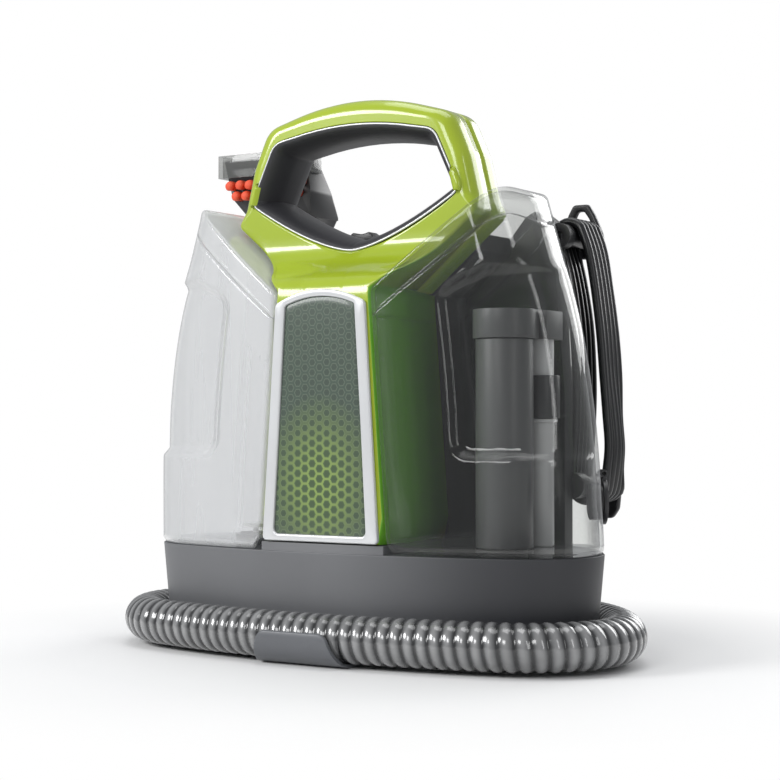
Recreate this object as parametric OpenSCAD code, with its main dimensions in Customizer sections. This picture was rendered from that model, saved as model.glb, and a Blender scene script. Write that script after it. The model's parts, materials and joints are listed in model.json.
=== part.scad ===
// Spot extractor: a portable carpet and upholstery spot cleaner.
// Units are millimetres, +Z is up, +X is to the right seen from the front,
// the front faces -Y and the origin is the centre of the base on the ground.

/* [Base] */
// Half of the base's width
half_width = 142; // [138:1:146]
// Height of the deck the tanks stand on
deck_z = 60; // [58:1:62]
// Wall thickness of the base tub
tub_wall = 2.7; // [2.2:0.1:3.2]

/* [Tanks] */
// Wall thickness of the clear tanks
tank_wall = 2.4; // [1.8:0.1:3]
// Depth of the grip recess on each tank's outer side
grip_depth = 5; // [4:0.5:9]
// Height of the separate tank top, measured down from the sloped edge
top_band = 15; // [12:1:18]

/* [Hose] */
// Outside radius of the suction hose
hose_r = 13.15; // [12:0.05:13.2]
// Wall of the suction hose
hose_wall = 1.6; // [1.2:0.1:2]

/* [Handle] */
// Top of the handle
handle_top = 316; // [314:1:320]
// Width of the grip liner's front lip
liner_lip = 8; // [6:0.5:9]

/* [Moving parts] */
// Radial running clearance of shafts and pins
clearance = 0.06; // [0.03:0.01:0.1]

/* [Hidden] */
$fn = 48;

// Plan positions [x, y]
wand = [-103.97, 63.62];    // wand and the hose end below it
inlet_port = [87, -20];     // dirty tank's floor port for the incoming flow
air_port = [96, 6];         // dirty tank's floor port for the outgoing air
clean_port = [-90, -10];    // clean tank's outlet
recovery_riser = [0, 60];
air_riser = [54, 53];
water_riser = [-22, 60];
wiring_hole = [-20, 20];

fan_z = 145;        // fan and motor axis
hose_port_z = 82;   // axis of the hose port in the casing's back

// Casing column in front view: half width and height of its foot and its neck
foot_x = 40.6;
foot_z = 65.4;
neck_x = 30.4;
neck_z = 205.4;

// ---- helpers ----
function lift(spot, z) = [spot[0], spot[1], z];

module at(spot) translate([spot[0], spot[1], 0]) children();
module box(corner, size) translate(corner) cube(size);
module disc(z, r, h) translate([0, 0, z]) cylinder(r=r, h=h);
module ring(outer_r, inner_r, h) difference() {
  cylinder(r=outer_r, h=h);
  disc(-1, inner_r, h+2);
}
// turn the children's z axis to +X, to +Y or to -Y
module along_x(start) translate(start) rotate([0,90,0]) children();
module along_y(start) translate(start) rotate([-90,0,0]) children();
module to_front(start) translate(start) rotate([90,0,0]) children();
module x_rod(start, r, h) along_x(start) cylinder(r=r, h=h);
module y_rod(start, r, h) along_y(start) cylinder(r=r, h=h);
// round bar between any two points
module bar(from, to, r) {
  way = to-from;
  length = norm(way);
  translate(from)
    rotate([0, acos(way[2]/length), atan2(way[1], way[0])])
      cylinder(r=r, h=length, $fn=32);
}
// bars along a path, with a slightly fuller ball at each corner
module pipe(path, r) {
  for (i=[0:len(path)-2]) bar(path[i], path[i+1], r);
  if (len(path) > 2)
    for (i=[1:len(path)-2]) translate(path[i]) sphere(r=r*1.09, $fn=32);
}
// slab of a front view drawn in the XZ plane, from y0 back to y1
module xz_slab(y0, y1) translate([0, y1, 0]) rotate([90,0,0]) linear_extrude(y1-y0) children();

// ---- plan outline of the machine, made of tangent arcs ----
// each arc: [centre, radius]
front_arc = [[0, 365], 440];
corner_arc = [[half_width-45.1, -18], 45];
side_arc = [[half_width-113.1, -49.8], 120];
back_arc = [[0, -99.9], 177.8];

// points first..steps of an arc split in equal steps, moved out by grow
function arc_points(arc, grow, start, sweep, steps, first=1) =
  [for (i=[first:steps]) let(angle=start + sweep*i/steps)
    arc[0] + (arc[1]+grow)*[cos(angle), sin(angle)]];
function right_outline(grow) = concat(
  arc_points(front_arc, grow, -90, 14.2, 4, 0),
  arc_points(corner_arc, grow, -75.8, 100.9, 10),
  arc_points(side_arc, grow, 25.1, 34.9, 5),
  arc_points(back_arc, grow, 60, 30, 4));
function outline(grow) = let(right=right_outline(grow))
  concat(right, [for (i=[len(right)-2:-1:1]) [-right[i][0], right[i][1]]]);
module plan_slab(z, h, grow) translate([0,0,z]) linear_extrude(h) polygon(outline(grow));

// ================= base =================
tub_taper = 4.5;    // inset of the tub's foot from its top edge
foot_points = [[-104,-44], [104,-44], [-92,34], [92,34]];
base_screw_points = [[-118,-18], [118,-18], [-45,-58], [45,-58], [-44,58], [44,58]];
// holes through the deck: [place, radius]
deck_holes = [[clean_port,21.5], [inlet_port,18.3], [air_port,8.6], [recovery_riser,13.5],
  [air_riser,8.4], [water_riser,4], [wiring_hole,12]];

module base_tub() color("#6a6d72") difference() {
  union() {
    hull() {
      plan_slab(8.2, 0.4, -tub_taper);
      plan_slab(deck_z-0.6, 0.6, 0);
    }
    // raised pad under the casing column
    intersection() {
      xz_slab(-90, 37)
        polygon([[-46,deck_z-2], [-foot_x,deck_z+5], [foot_x,deck_z+5], [46,deck_z-2]]);
      plan_slab(0, 80, -1);
      box([-foot_x,-90,0], [2*foot_x,130,80]);
    }
  }
  hull() {
    plan_slab(8, 0.4, -tub_taper-tub_wall);
    plan_slab(deck_z-3.4, 0.4, -tub_wall);
  }
  for (hole=deck_holes) at(hole[0]) disc(50, hole[1], 20);
}
module base_plate() color("#3c3e42") difference() {
  plan_slab(4, 4, -5.2);
  for (spot=foot_points) at(spot) disc(3, 9.2, 2.5);
  for (spot=base_screw_points) at(spot) {
    disc(0, 2.2, 12);
    disc(3, 4.2, 2.5);
  }
  // cooling slots
  for (i=[-3:3]) box([i*8-1.5,8,0], [3,34,12]);
}
module rubber_feet() color("#222222") for (spot=foot_points) at(spot) difference() {
  cylinder(r=9, h=5.4);
  disc(-1, 3.4, 3);
}
module base_screws() color("#b9bbbe") for (spot=base_screw_points) at(spot) difference() {
  union() {
    disc(3.6, 4, 1.9);
    disc(5.4, 2, 7);
  }
  disc(3, 1.6, 1.8, $fn=6);
}
// sprung tongue that holds the hose against the front of the base
module hose_clip() color("#6f7276") {
  xz_slab(-101.8, -98.7) polygon([[-28,0], [28,0], [21.5,17], [-21.5,17]]);
  box([-26,-99.5,0], [52,34,1.9]);
  box([-20,-71.5,1], [40,6,2.9]);
}

// ================= casing =================
shell_wall = 2.5;   // wall of the front housing and the handle's back shell
// handle screws [x, z]
handle_screw_points = [[-52,236], [52,236], [-36,305], [36,305]];

// front view of the casing column and handle: outer edge
module casing_2d() polygon(concat(
  [[-foot_x,foot_z], [foot_x,foot_z], [neck_x,neck_z], [78,244.6], [80,254], [69,287]],
  [for (i=[0:8]) let(x=61*cos(180*i/8)) [x, handle_top - 13*pow(x/62.5,2)]],
  [[-69,287], [-80,254], [-78,244.6], [-neck_x,neck_z]]));
// the part of it above the neck
module handle_2d() intersection() {
  casing_2d();
  translate([-100, neck_z+0.2]) square([200,150]);
}
// front view of the handle's opening
module opening_2d(grow) offset(delta=grow) polygon(concat(
  [for (i=[-4:4]) let(x=54.3*i/4) [-x, 302 - 7.6*pow(x/54.3,2)]],
  [for (i=[-6:6]) let(x=70.7*i/6) [x, 229 + 30.4*pow(abs(x)/70.7,1.35)]]));
// cutter through the handle's opening
module opening_cut(grow=0) xz_slab(-95, 5) opening_2d(grow);
// side view [y, z] of the casing's front: badge face, neck and handle
module side_2d(inset) polygon([[-71.5+inset,foot_z+inset], [-71.5+inset,206],
  [-66+inset,214], [-52+inset,219], [-44+inset,225], [-41+inset,233],
  [-41+inset,330], [-22,330], [-22,neck_z], [0,neck_z], [0,foot_z+inset]]);
module casing_solid(inset) intersection() {
  xz_slab(-90, 5) offset(delta=-inset) casing_2d();
  rotate([90,0,90]) translate([0,0,-100]) linear_extrude(200) side_2d(inset);
}
module front_housing() color("#9fc82c") difference() {
  casing_solid(0);
  difference() {
    translate([0,0.02,0]) casing_solid(shell_wall);
    // solid rim round the handle's opening
    opening_cut(shell_wall);
  }
  opening_cut();
}
module handle_back_shell() color("#8ab325") difference() {
  xz_slab(-21.9, -3.2) handle_2d();
  difference() {
    xz_slab(-22.5, -5.7) offset(delta=-shell_wall) handle_2d();
    opening_cut(shell_wall);
  }
  opening_cut();
  for (p=handle_screw_points) to_front([p[0],0,p[1]]) cylinder(r=1.7, h=12);
}
module housing_screws() color("#b9bbbe")
  for (p=handle_screw_points) to_front([p[0],-0.2,p[1]]) difference() {
    union() {
      cylinder(r=3, h=2.9);
      cylinder(r=1.5, h=17);
    }
    disc(-0.1, 1.3, 1.6, $fn=6);
  }
// charcoal liner that wraps the inside of the grip opening
module handle_grip_liner() color("#3a3b3d") difference() {
  xz_slab(-41.8, -0.4) opening_2d(-0.4);
  xz_slab(-50, 5) opening_2d(-liner_lip);
}
// badge outline with an arched top, from its half widths at foot and top
module badge_2d(foot_half, top_half) polygon(concat(
  [[-foot_half,65.8], [foot_half,65.8]],
  [for (i=[0:6]) let(x=top_half-2*top_half*i/6) [x, 205.7-6.3*pow(x/27.2,2)]]));
module badge_inset_2d(inset) offset(delta=-inset) badge_2d(34.9, 27.2);
module badge_frame() color("#c9cbcc") difference() {
  xz_slab(-74.5, -71.6) badge_2d(38.2, 29.6);
  xz_slab(-80, -60) badge_inset_2d(4);
}
module badge_panel() color("#46584c") xz_slab(-73.6, -71.6) badge_inset_2d(4.1);

// ---- dark rear casing: a column between the tanks and a wide back ----
// cord hook axes [x, z], which run along Y
upper_hook = [85.2, 241.5];
lower_hook = [95, 95];
hook_pin_r = 2.5;
hook_post_r = 5.3;
cord_r = 2.7;
// cord's lead from the casing to its first turn
lead_start = [79, 47, 104];
lead_end = [85.2, 61.3, 104];
// straight line that bores the lead's hole
lead_bore = [[77.3,43,104], [87,65.4,104]];

function on_axis(hook, y) = [hook[0], y, hook[1]];

module rear_2d() polygon([[-62,60.2], [95,60.2], [95,150], [88,234], [84,250], [76,255],
  [70,252], [60,240], [-45,240], [-62,214]]);
module rear_column_2d() polygon([[-foot_x,foot_z], [foot_x,foot_z], [neck_x,neck_z],
  [60,230.2], [60,240], [-60,240], [-60,230.2], [-neck_x,neck_z]]);
// with an inset it is the cavity, open to the front below the column's top
module rear_solid(inset) {
  difference() {
    xz_slab(inset>0 ? -0.8 : 0.2, 39) offset(delta=-inset) rear_column_2d();
    if (inset > 0) box([-100,-5,208], [200,7,60]);
  }
  intersection() {
    xz_slab(38.2+inset, 90) offset(delta=-inset) rear_2d();
    plan_slab(50, 300, -1.5-inset);
  }
  // joins the two cavities
  if (inset > 0) xz_slab(30, 42) offset(delta=-inset) rear_column_2d();
}
module rear_housing() color("#4a4c50") difference() {
  union() {
    difference() {
      rear_solid(0);
      rear_solid(2.6);
    }
    // brackets that carry the two cord hooks
    hull() {
      box([68,50,233], [12,8,14]);
      y_rod(on_axis(upper_hook, 50), 7.5, 8);
    }
    hull() {
      box([74,48,87], [14,10,14]);
      y_rod(on_axis(lower_hook, 48), 7.5, 10);
    }
  }
  y_rod(on_axis(upper_hook, 46), hook_pin_r+clearance, 20);
  y_rod(on_axis(lower_hook, 51), hook_pin_r+clearance, 20);
  bar(lead_bore[0], lead_bore[1], 5.1);
  // switch opening, hose inlet and exhaust window
  box([-36,3,230], [24,14,20]);
  y_rod(lift(recovery_riser, hose_port_z), 13.2, 30);
  box([-56,60,98], [30,30,64]);
  // duct, wiring and water openings in the floor
  at(recovery_riser) disc(55, 13.2, 12);
  at(air_riser) disc(55, 8.2, 12);
  at(wiring_hole) disc(60, 10, 12);
  at(water_riser) disc(55, 3.8, 12);
}
module exhaust_grille() color("#2c2d30") intersection() {
  difference() {
    box([-55.8,62,98.2], [29.6,20,63.6]);
    for (i=[0:8]) box([-53,50,102+i*6.6], [24,40,3]);
  }
  difference() {
    plan_slab(0, 300, -1.6);
    plan_slab(0, 300, -4);
  }
}
module power_switch_body() color("#18181a") difference() {
  union() {
    box([-35.7,3.3,224], [23.4,13.4,18]);
    box([-38,1,240.2], [28,18,1.8]);
  }
  box([-34,5,230], [20,10,20]);
}
// rocker with a rounded underside and a dished top
module power_rocker() color("#2a2a2c") difference() {
  intersection() {
    box([-33,5.2,233], [18,9.6,14.5]);
    y_rod([-24,0,236], 11, 30);
  }
  y_rod([-24,-10,258], 13.5, 50);
}
// retaining hook that swings down to drop the wound cord
module upper_cord_hook() color("#1d1d1f") difference() {
  union() {
    y_rod(on_axis(upper_hook, 58.3), hook_post_r, 34);
    xz_slab(90.6, 94.6) difference() {
      polygon([[70.4,247], [70.8,257], [74.8,264], [84.8,264], [88.8,258], [94,246.5],
        [94.4,239], [91.5,233], [85,231], [77.5,232.5], [72,239]]);
      polygon([[76,250.6], [75.9,255], [77.9,259.6], [82,259.6], [84.6,256], [87.6,250],
        [86,248.9], [77.7,248.9]]);
    }
  }
  y_rod(on_axis(upper_hook, 48), hook_pin_r+clearance, 41);
}
module hook_pivot_pin() color("#c8cacc") y_rod(on_axis(upper_hook, 52.4), hook_pin_r, 36);
module lower_cord_hook() color("#1d1d1f") {
  y_rod(on_axis(lower_hook, 58.1), hook_post_r, 34);
  y_rod(on_axis(lower_hook, 52.4), hook_pin_r, 7);
  xz_slab(90.6, 94.2) polygon([[86,98], [87.5,80], [92,74.5], [100.5,74.5], [104.5,80],
    [105.5,92], [102,100.5], [94,102.5]]);
}
// front view of the wound loop round both hooks, filled out to radius r
module cord_loop_2d(r) hull()
  for (hook=[upper_hook, lower_hook]) translate(hook + [0.9,0]) circle(r=r);
module cord_turn(y) translate([0,y-cord_r,0]) xz_slab(0, 2*cord_r-0.2) difference() {
  cord_loop_2d(9.2+cord_r);
  cord_loop_2d(9.2-cord_r);
}
module power_cord() color("#111112") {
  for (i=[0:4]) cord_turn(63 + 2*cord_r*i);
  bar(lead_start, lead_end, cord_r);
  // tail up from the plug to the last-but-one turn
  bar([71.2,79.2,166.9], [80.6,79.2,198], cord_r);
}
module cord_strain_relief() color("#1b1b1d") difference() {
  bar([80.2,49.7,104], [83.5,57.3,104], 5);
  bar(lead_bore[0], lead_bore[1], cord_r+0.05);
}
// plug with two flat pins and a round one, pointing down
module power_plug() color("#161617") {
  box([66.4,69.7,138], [9.2,19,28]);
  for (y=[74.7,82.7]) box([69.2,y,122], [1.6,6,16.5]);
  at([71,79.2]) disc(120, 2.4, 18.5);
}

// ================= inside: air side =================
motor_r = 25;
shaft_r = 3;
blade_count = 10;

// frame of the motor: local z points back along the shaft
module at_fan() along_y([0,0,fan_z]) children();
module vacuum_motor() color("#8d9094") at_fan() difference() {
  union() {
    disc(-10, motor_r, 46);
    disc(-14, 9, 52);
    disc(36, 29, 3);
  }
  disc(-20, shaft_r+clearance, 70);
  // cooling windows in the can
  for (angle=[0:60:300]) rotate([0,0,angle]) box([17,-5,-8], [5,10,20]);
}
module motor_shaft() color("#d5d7d9") at_fan() disc(-16, shaft_r, 70);
module motor_mount_rings() color("#202022") at_fan()
  for (z=[-6,24]) translate([0,0,z]) difference() {
    cylinder(r=29.5, h=7);
    disc(-1, motor_r+0.02, 9);
  }
module impeller() color("#b8bbbe") at_fan() difference() {
  union() {
    disc(45, 36, 1.6);
    disc(45, 8, 9);
    for (i=[0:blade_count-1]) rotate([0,0,i*360/blade_count]) box([15,-0.8,46], [20,1.6,7.2]);
    translate([0,0,52.8]) ring(36, 14, 1.4);
  }
  disc(40, shaft_r+0.01, 30);
}
module fan_housing() color("#5c6064") at_fan() difference() {
  union() {
    disc(41.3, 42, 14.9);
    box([-42,-30,41.3], [20,30,14.9]);
  }
  disc(43, 40, 11.6);
  box([-50,-28,43], [20,26,11.6]);
  // shaft hole and inlet eye
  disc(40, 9.4, 5);
  disc(50, 13, 20);
}
// dirty water and air path from the hose to the recovery tank
recovery_turn = lift(recovery_riser, hose_port_z);
recovery_low = [lift(recovery_riser, 36), lift(inlet_port, 36)];
module recovery_duct() color("#33353a") difference() {
  union() {
    bar([0,72,hose_port_z], recovery_turn, 12.5);
    pipe(concat([recovery_turn], recovery_low, [lift(inlet_port, 56)]), 11.8);
    at(inlet_port) disc(52, 13.6, 6);
    translate(recovery_turn) sphere(r=12.7);
  }
  pipe(concat([[0,80,hose_port_z], recovery_turn], recovery_low, [lift(inlet_port, 70)]), 10);
}
// separated air from the recovery tank to the fan's eye
air_low = [lift(air_port, 42), lift(air_riser, 42)];
module air_duct() color("#33353a") difference() {
  union() {
    pipe(concat([lift(air_port, 57.5)], air_low, [lift(air_riser, 150)]), 7.5);
    box([-16,56.5,fan_z-16], [72,5.5,32]);
  }
  pipe(concat([lift(air_port, 80)], air_low, [lift(air_riser, 148)]), 6.2);
  box([-14,57.6,fan_z-14], [66,3.3,28]);
  y_rod([0,50,fan_z], 12, 9);
}

// ================= inside: water side =================
plunger_r = 5;
pump_y = -32;
pump_z = 30;
heater_z = 31;
heater_channels = [16, 30];     // y of the two channels through the block

// frame of the pump: local z points right along its axis
module at_pump() along_x([-38,pump_y,pump_z]) children();
module pump_body() color("#7d8084") at_pump() difference() {
  union() {
    cylinder(r=13, h=34);
    disc(34, 7, 12);
    disc(-9, 5, 9.5);
  }
  disc(6, plunger_r+0.05, 24);
  disc(-10, 1.6, 60);
}
module pump_plunger() color("#d0d2d4") at_pump() translate([0,0,11]) difference() {
  cylinder(r=plunger_r, h=9);
  disc(-1, 1.4, 12);
}
// spring made of four separate rings
module pump_spring() color("#aeb1b4") at_pump()
  for (i=[0:3]) translate([0,0,23.4+i*1.6]) difference() {
    cylinder(r=4.6, h=0.8);
    disc(-1, 3.6, 3);
  }
module heater_block() color("#9a9da0") difference() {
  box([-74,6,18], [54,34,26]);
  for (y=heater_channels) x_rod([-80,y,heater_z], 3.2, 70);
}
module thermostat() color("#e3e0d6") translate([-47,23,44.2]) {
  cylinder(r=8, h=4);
  for (x=[-5,5]) box([x-0.5,-2.5,4], [1,5,5]);
}
module water_tubes() color("#c5cbd0") {
  first = heater_channels[0];
  second = heater_channels[1];
  // receiver to pump, pump to heater, heater to the hose
  pipe([lift(clean_port, 49.5), lift(clean_port, 40), [-70,pump_y,pump_z],
    [-47.6,pump_y,pump_z]], 3);
  pipe([[8.5,pump_y,pump_z], [16,pump_y,pump_z], [16,-4,pump_z], [-14,first,heater_z],
    [-19.6,first,heater_z]], 3);
  pipe([[-19.6,second,heater_z], [-16.5,second,heater_z], [-16.5,60,heater_z],
    lift(water_riser, heater_z), lift(water_riser, 76)], 3);
}
module wiring_harness() color("#b03a2e") {
  pipe([[-24,10,222], [-24,14,190], [-26,16,178]], 1.8);
  pipe([[-22,20,112], [-22,20,54.9], [-46,23,54.9]], 1.5);
}
// rubber seats in the deck that the tanks plug on to
module tank_receivers() color("#26272a") {
  at(clean_port) difference() {
    disc(51, 21.3, 8.6);
    disc(53.5, 19.8, 10);
    disc(49, 3.1, 10);
  }
  at(inlet_port) difference() {
    disc(58.1, 18, 1.7);
    disc(50, 12, 20);
  }
  at(air_port) difference() {
    disc(57.6, 8.4, 2.2);
    disc(50, 6.4, 20);
  }
}

// ================= tanks =================
// Both tanks are drawn as the right one; the clean tank is its mirror image.
tank_foot_z = 60.3;
seam_gap = 0.1;     // shift of each tank part's edge from the seam line
// levels of the right tank: [height, reach of its front half, reach of its back half, taper]
tank_levels = [[tank_foot_z,142,142,0], [112,142.2,136.9,0.256], [160,139.5,131.3,0.494],
  [204,131,121.6,0.712], [262,110.5,104.5,1]];

// x of the tank's inner side, which leans with the casing column
function inner_x(z) = 42 - 0.074*(z-58.7);
// share of its depth behind y = 0 that the tank keeps at a level
function back_scale(level) = 1 - 0.48*level[3];
module tank_plan(level, inset) offset(delta=-inset)
  offset(r=7, $fn=24) offset(delta=-7) intersection() {
    polygon([for (p=outline(0)) let(blend=min(1,max(0,(p[1]+41.8)/55.6)))
      [p[0]*(level[1]+(level[2]-level[1])*blend)/142,
       p[1] > 0 ? p[1]*back_scale(level) : p[1]]]);
    translate([inner_x(level[0]), -90]) square([130, 90+37*back_scale(level)]);
  }
module tank_hull(inset) hull() for (i=[0:4])
  translate([0,0,tank_levels[i][0]+(i==0 ? inset : 0)])
    linear_extrude(0.4) tank_plan(tank_levels[i], inset);
// front view of the tank, with its sloped edge lowered by drop
module tank_front(inset, drop=0) xz_slab(-100, 60) offset(delta=-inset) polygon([
  [20,tank_foot_z], [150,tank_foot_z], [150,226-drop], [124.5,236-drop], [121,243-drop],
  [114.6,249.9-drop], [107,256.5-drop], [99,259.5-drop], [31.2,204.6-drop], [20,195.5-drop]]);
// the band round the tank's outer side where the fingers grip it
module grip_block(grow) box([80.6-grow,-100,112-grow], [80,96+grow,96+2*grow]);
module tank_outer(inset) difference() {
  intersection() {
    tank_hull(inset);
    tank_front(inset);
  }
  difference() {
    grip_block(inset);
    tank_hull(grip_depth+inset);
  }
}
module tank_walls() difference() {
  tank_outer(0);
  tank_outer(tank_wall);
}
// space above the seam line raised by shift
module above_seam(shift) difference() {
  box([0,-100,100], [200,200,200]);
  tank_front(0, top_band-shift);
}
module lower_walls() difference() {
  tank_walls();
  above_seam(-seam_gap);
}
module upper_walls() intersection() {
  tank_walls();
  above_seam(seam_gap);
}

// ---- clean tank ----
clean_stem_r = 1.6;
module clean_tank_shell() color([0.86,0.89,0.9,0.5]) mirror([1,0,0]) difference() {
  lower_walls();
  at([-clean_port[0], clean_port[1]]) disc(50, 12.2, 30);
}
module clean_tank_top() color([0.8,0.83,0.84,0.5]) mirror([1,0,0]) upper_walls();
// screw cap in the clean tank's floor, with the outlet valve in its middle
module clean_fill_cap() color("#2b2c2f") at(clean_port) {
  difference() {
    union() {
      disc(57.2, 14, 3);
      disc(60.1, 12.1, 4.4);
    }
    disc(55, 6, 20);
    for (angle=[0:45:315]) rotate([0,0,angle]) box([13.2,-1,56], [2,2,5]);
  }
  // bridge that guides the valve stem
  difference() {
    box([-6.5,-1.5,59], [13,3,2.5]);
    disc(55, clean_stem_r+clearance, 20);
  }
}
module clean_valve_stem() color("#dfe1e2") at(clean_port) {
  disc(55.8, clean_stem_r, 13);
  disc(68.6, 8, 1.8);
}
module clean_valve_seal() color("#303134")
  translate(lift(clean_port, 64.6)) ring(9.5, 6.2, 0.9);

// ---- dirty tank ----
riser_z = 62.9;     // foot of the two upright tubes' wide parts
cap_hinge_x = -15.5;
cap_hinge_z = 3.4;
cap_hinge_r = 1;
// frame of the pour-out mouth: local z points out of the wall, local x down
module at_mouth() translate([124.8,17.8,88]) rotate([0,0,35]) rotate([0,90,0]) children();
module dirty_tank_shell() color([0.35,0.36,0.37,0.5]) {
  difference() {
    lower_walls();
    at(inlet_port) disc(50, 13, 30);
    at(air_port) disc(50, 6.6, 30);
    // pour-out mouth low in the back corner
    at_mouth() disc(-12, 11.2, 24);
  }
  // hinge lugs and pin for the stopper
  at_mouth() {
    for (y=[-8,5.3]) box([-17.5,y,-1.2], [4,2.7,6.6]);
    y_rod([cap_hinge_x,-8,cap_hinge_z], cap_hinge_r, 16);
  }
}
module dirty_tank_top() color([0.45,0.46,0.47,0.5]) upper_walls();
module inlet_riser() color("#6d7074") at(inlet_port) difference() {
  union() {
    disc(riser_z, 16, 115);
    disc(60.5, 12.9, 3);
  }
  disc(50, 11.8, 200);
  disc(64.5, 14.2, 200);
}
module air_tube() color("#8a8d91") at(air_port) difference() {
  union() {
    disc(riser_z, 7.5, 126);
    disc(60.5, 6.5, 3);
    // collar below the float
    disc(132, 9.5, 2);
  }
  disc(50, 5.8, 200);
}
// baffle box that turns the incoming flow down and leads the air to the air tube
module separator_hood() color("#5c5f63") difference() {
  union() {
    at(inlet_port) disc(178.2, 17.5, 16);
    at(air_port) box([-11,-11,178.2], [20.4,20,16]);
    box([air_port[0]-8,-20,178.2], [14,12,16]);
  }
  at(inlet_port) disc(170, 14.2, 22);
  at(inlet_port) box([-30,-9,181], [24,18,11]);
  at(air_port) disc(170, 8.1, 22);
}
module float_ring() color("#1f2022") translate(lift(air_port, 134.2)) ring(10.8, 7.6, 24);
// hinged stopper of the pour-out mouth
module drain_cap() color("#3a3b3e") at_mouth() difference() {
  union() {
    disc(-4, 10.4, 6.6);
    disc(2.4, 13, 2.4);
    box([-16,-5,2.4], [8,10,2.4]);
    y_rod([cap_hinge_x,-5,cap_hinge_z], 2.2, 10);
  }
  y_rod([cap_hinge_x,-9,cap_hinge_z], cap_hinge_r+clearance, 18);
}

// ================= hose =================
hose_z = 15.2;      // centre line where the hose lies round the base
hose_gap = 10;      // centre line's distance outside the plan outline
bend_r = 40;
hose_sides = 18;

// stations along the hose's centre line: [x, y, z, heading, pitch]
function round_station(arc, angle) = let(r=arc[1]+hose_gap)
  [arc[0][0]+r*cos(angle), arc[0][1]+r*sin(angle), hose_z, angle+90, 0];
// stations 0..last of a sweep split in equal steps
function round_stations(arc, start, sweep, steps, last) =
  [for (i=[0:last]) round_station(arc, start + sweep*i/steps)];
// station on an upward bend that starts at a station on the ground
function bend_station(foot, pitch) = [
  foot[0]+bend_r*sin(pitch)*cos(foot[3]), foot[1]+bend_r*sin(pitch)*sin(foot[3]),
  hose_z+bend_r*(1-cos(pitch)), foot[3], pitch];
function left(arc) = [[-arc[0][0], arc[0][1]], arc[1]];

wand_foot = round_station(left(side_arc), 140.6);
port_foot = round_station(back_arc, 78);
// from below the wand, round the front of the base and up to the casing's back
stations = concat(
  [bend_station(wand_foot, -90) + [0,0,12,0,0]],
  [for (pitch=[-90:15:-15]) bend_station(wand_foot, pitch)],
  round_stations(left(side_arc), 140.6, 14.3, 2, 1),
  round_stations(left(corner_arc), 154.9, 100.9, 10, 9),
  round_stations(front_arc, 255.8, 28.4, 7, 6),
  round_stations(corner_arc, 284.2, 100.9, 10, 9),
  round_stations(side_arc, 25.1, 34.9, 3, 2),
  round_stations(back_arc, 60, 18, 2, 2),
  [for (pitch=[15:15:90]) bend_station(port_foot, pitch)],
  [bend_station(port_foot, 90) + [0,0,14,0,0]]);

// point at an angle on the hose's section of radius r
function section_point(station, r, angle) = let(heading=station[3], pitch=station[4]) [
  station[0] + r*cos(angle)*sin(heading) - r*sin(angle)*cos(heading)*sin(pitch),
  station[1] - r*cos(angle)*cos(heading) - r*sin(angle)*sin(heading)*sin(pitch),
  station[2] + r*sin(angle)*cos(pitch)];
function quad(a, b, c, d) = [[a,b,c], [c,b,d]];

module suction_hose() color("#a3a6a9") {
  sides = hose_sides;
  inner = len(stations)*sides;        // first point of the inner wall
  end = (len(stations)-1)*sides;      // first point of the last section
  polyhedron(
    points = [for (r=[hose_r, hose_r-hose_wall]) for (station=stations) for (k=[0:sides-1])
      section_point(station, r, 360*k/sides)],
    faces = concat(
      // outer wall, then inner wall
      [for (i=[0:sides:end-1]) for (k=[0:sides-1]) let(a=i+k, b=i+(k+1)%sides)
        each quad(a, a+sides, b, b+sides)],
      [for (i=[0:sides:end-1]) for (k=[0:sides-1]) let(a=inner+i+k, b=inner+i+(k+1)%sides)
        each quad(a, b, a+sides, b+sides)],
      // rims of the first and last sections
      [for (k=[0:sides-1]) let(a=k, b=(k+1)%sides)
        each quad(a, b, inner+a, inner+b)],
      [for (k=[0:sides-1]) let(a=end+k, b=end+(k+1)%sides)
        each quad(a, inner+a, b, inner+b)]));
}
// socket on the back of the casing that the hose turns in
module hose_port_elbow() color("#2b2c2f") translate([0,92.1,0]) difference() {
  union() {
    disc(62, 14.4, 8);
    disc(69, 13.5, 13);
    translate([0,0,hose_port_z]) sphere(r=14);
    y_rod([0,-19.9,hose_port_z], 12.9, 19.9);
    y_rod([0,-13.8,hose_port_z], 17, 3);
  }
  disc(60, hose_r+0.2, 9.4);
  disc(60, 11, 22);
  translate([0,0,hose_port_z]) sphere(r=11.2);
  y_rod([0,-30,hose_port_z], 10.4, 30);
}

// ================= wand =================
// Positions in this and the next section are measured from the wand's axis.
wand_r = 15;
spigot_r = 11;          // wand's upper end, which the tool plugs on to
trigger_y = -19;
trigger_z = 192;
trigger_pin_r = 1.5;
spray_stem_r = 2;
spray_stem_z = 165;

module trigger_bore() x_rod([-12,trigger_y,trigger_z], trigger_pin_r+clearance, 24);
module wand_hose_cuff() color("#2b2c2f") at(wand) difference() {
  union() {
    disc(60.3, 16.5, 15.7);
    translate([0,0,75.9]) cylinder(r1=16.5, r2=wand_r, h=8.1);
  }
  disc(57, hose_r+0.05, 10.4);
  disc(57, 11.4, 30);
}
module wand_body() color("#55585c") at(wand) difference() {
  union() {
    disc(84.2, wand_r, 151.8);
    disc(236, spigot_r, 14);
    // cheeks that carry the trigger
    for (x=[-9,6.2]) box([x,-24,184], [2.8,14,16]);
  }
  disc(80, 9.5, 180);
  trigger_bore();
  y_rod([0,-20,spray_stem_z], spray_stem_r+clearance, 14);
}
module spray_trigger() color("#9fc82c") at(wand) difference() {
  union() {
    x_rod([-6,trigger_y,trigger_z], 3.6, 12);
    box([-6,-23,150], [12,3.5,41]);
    box([-6,-25,150], [12,2.5,5]);
  }
  trigger_bore();
}
module trigger_pin() color("#c8cacc")
  at(wand) x_rod([-9.4,trigger_y,trigger_z], trigger_pin_r, 18.8);
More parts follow.
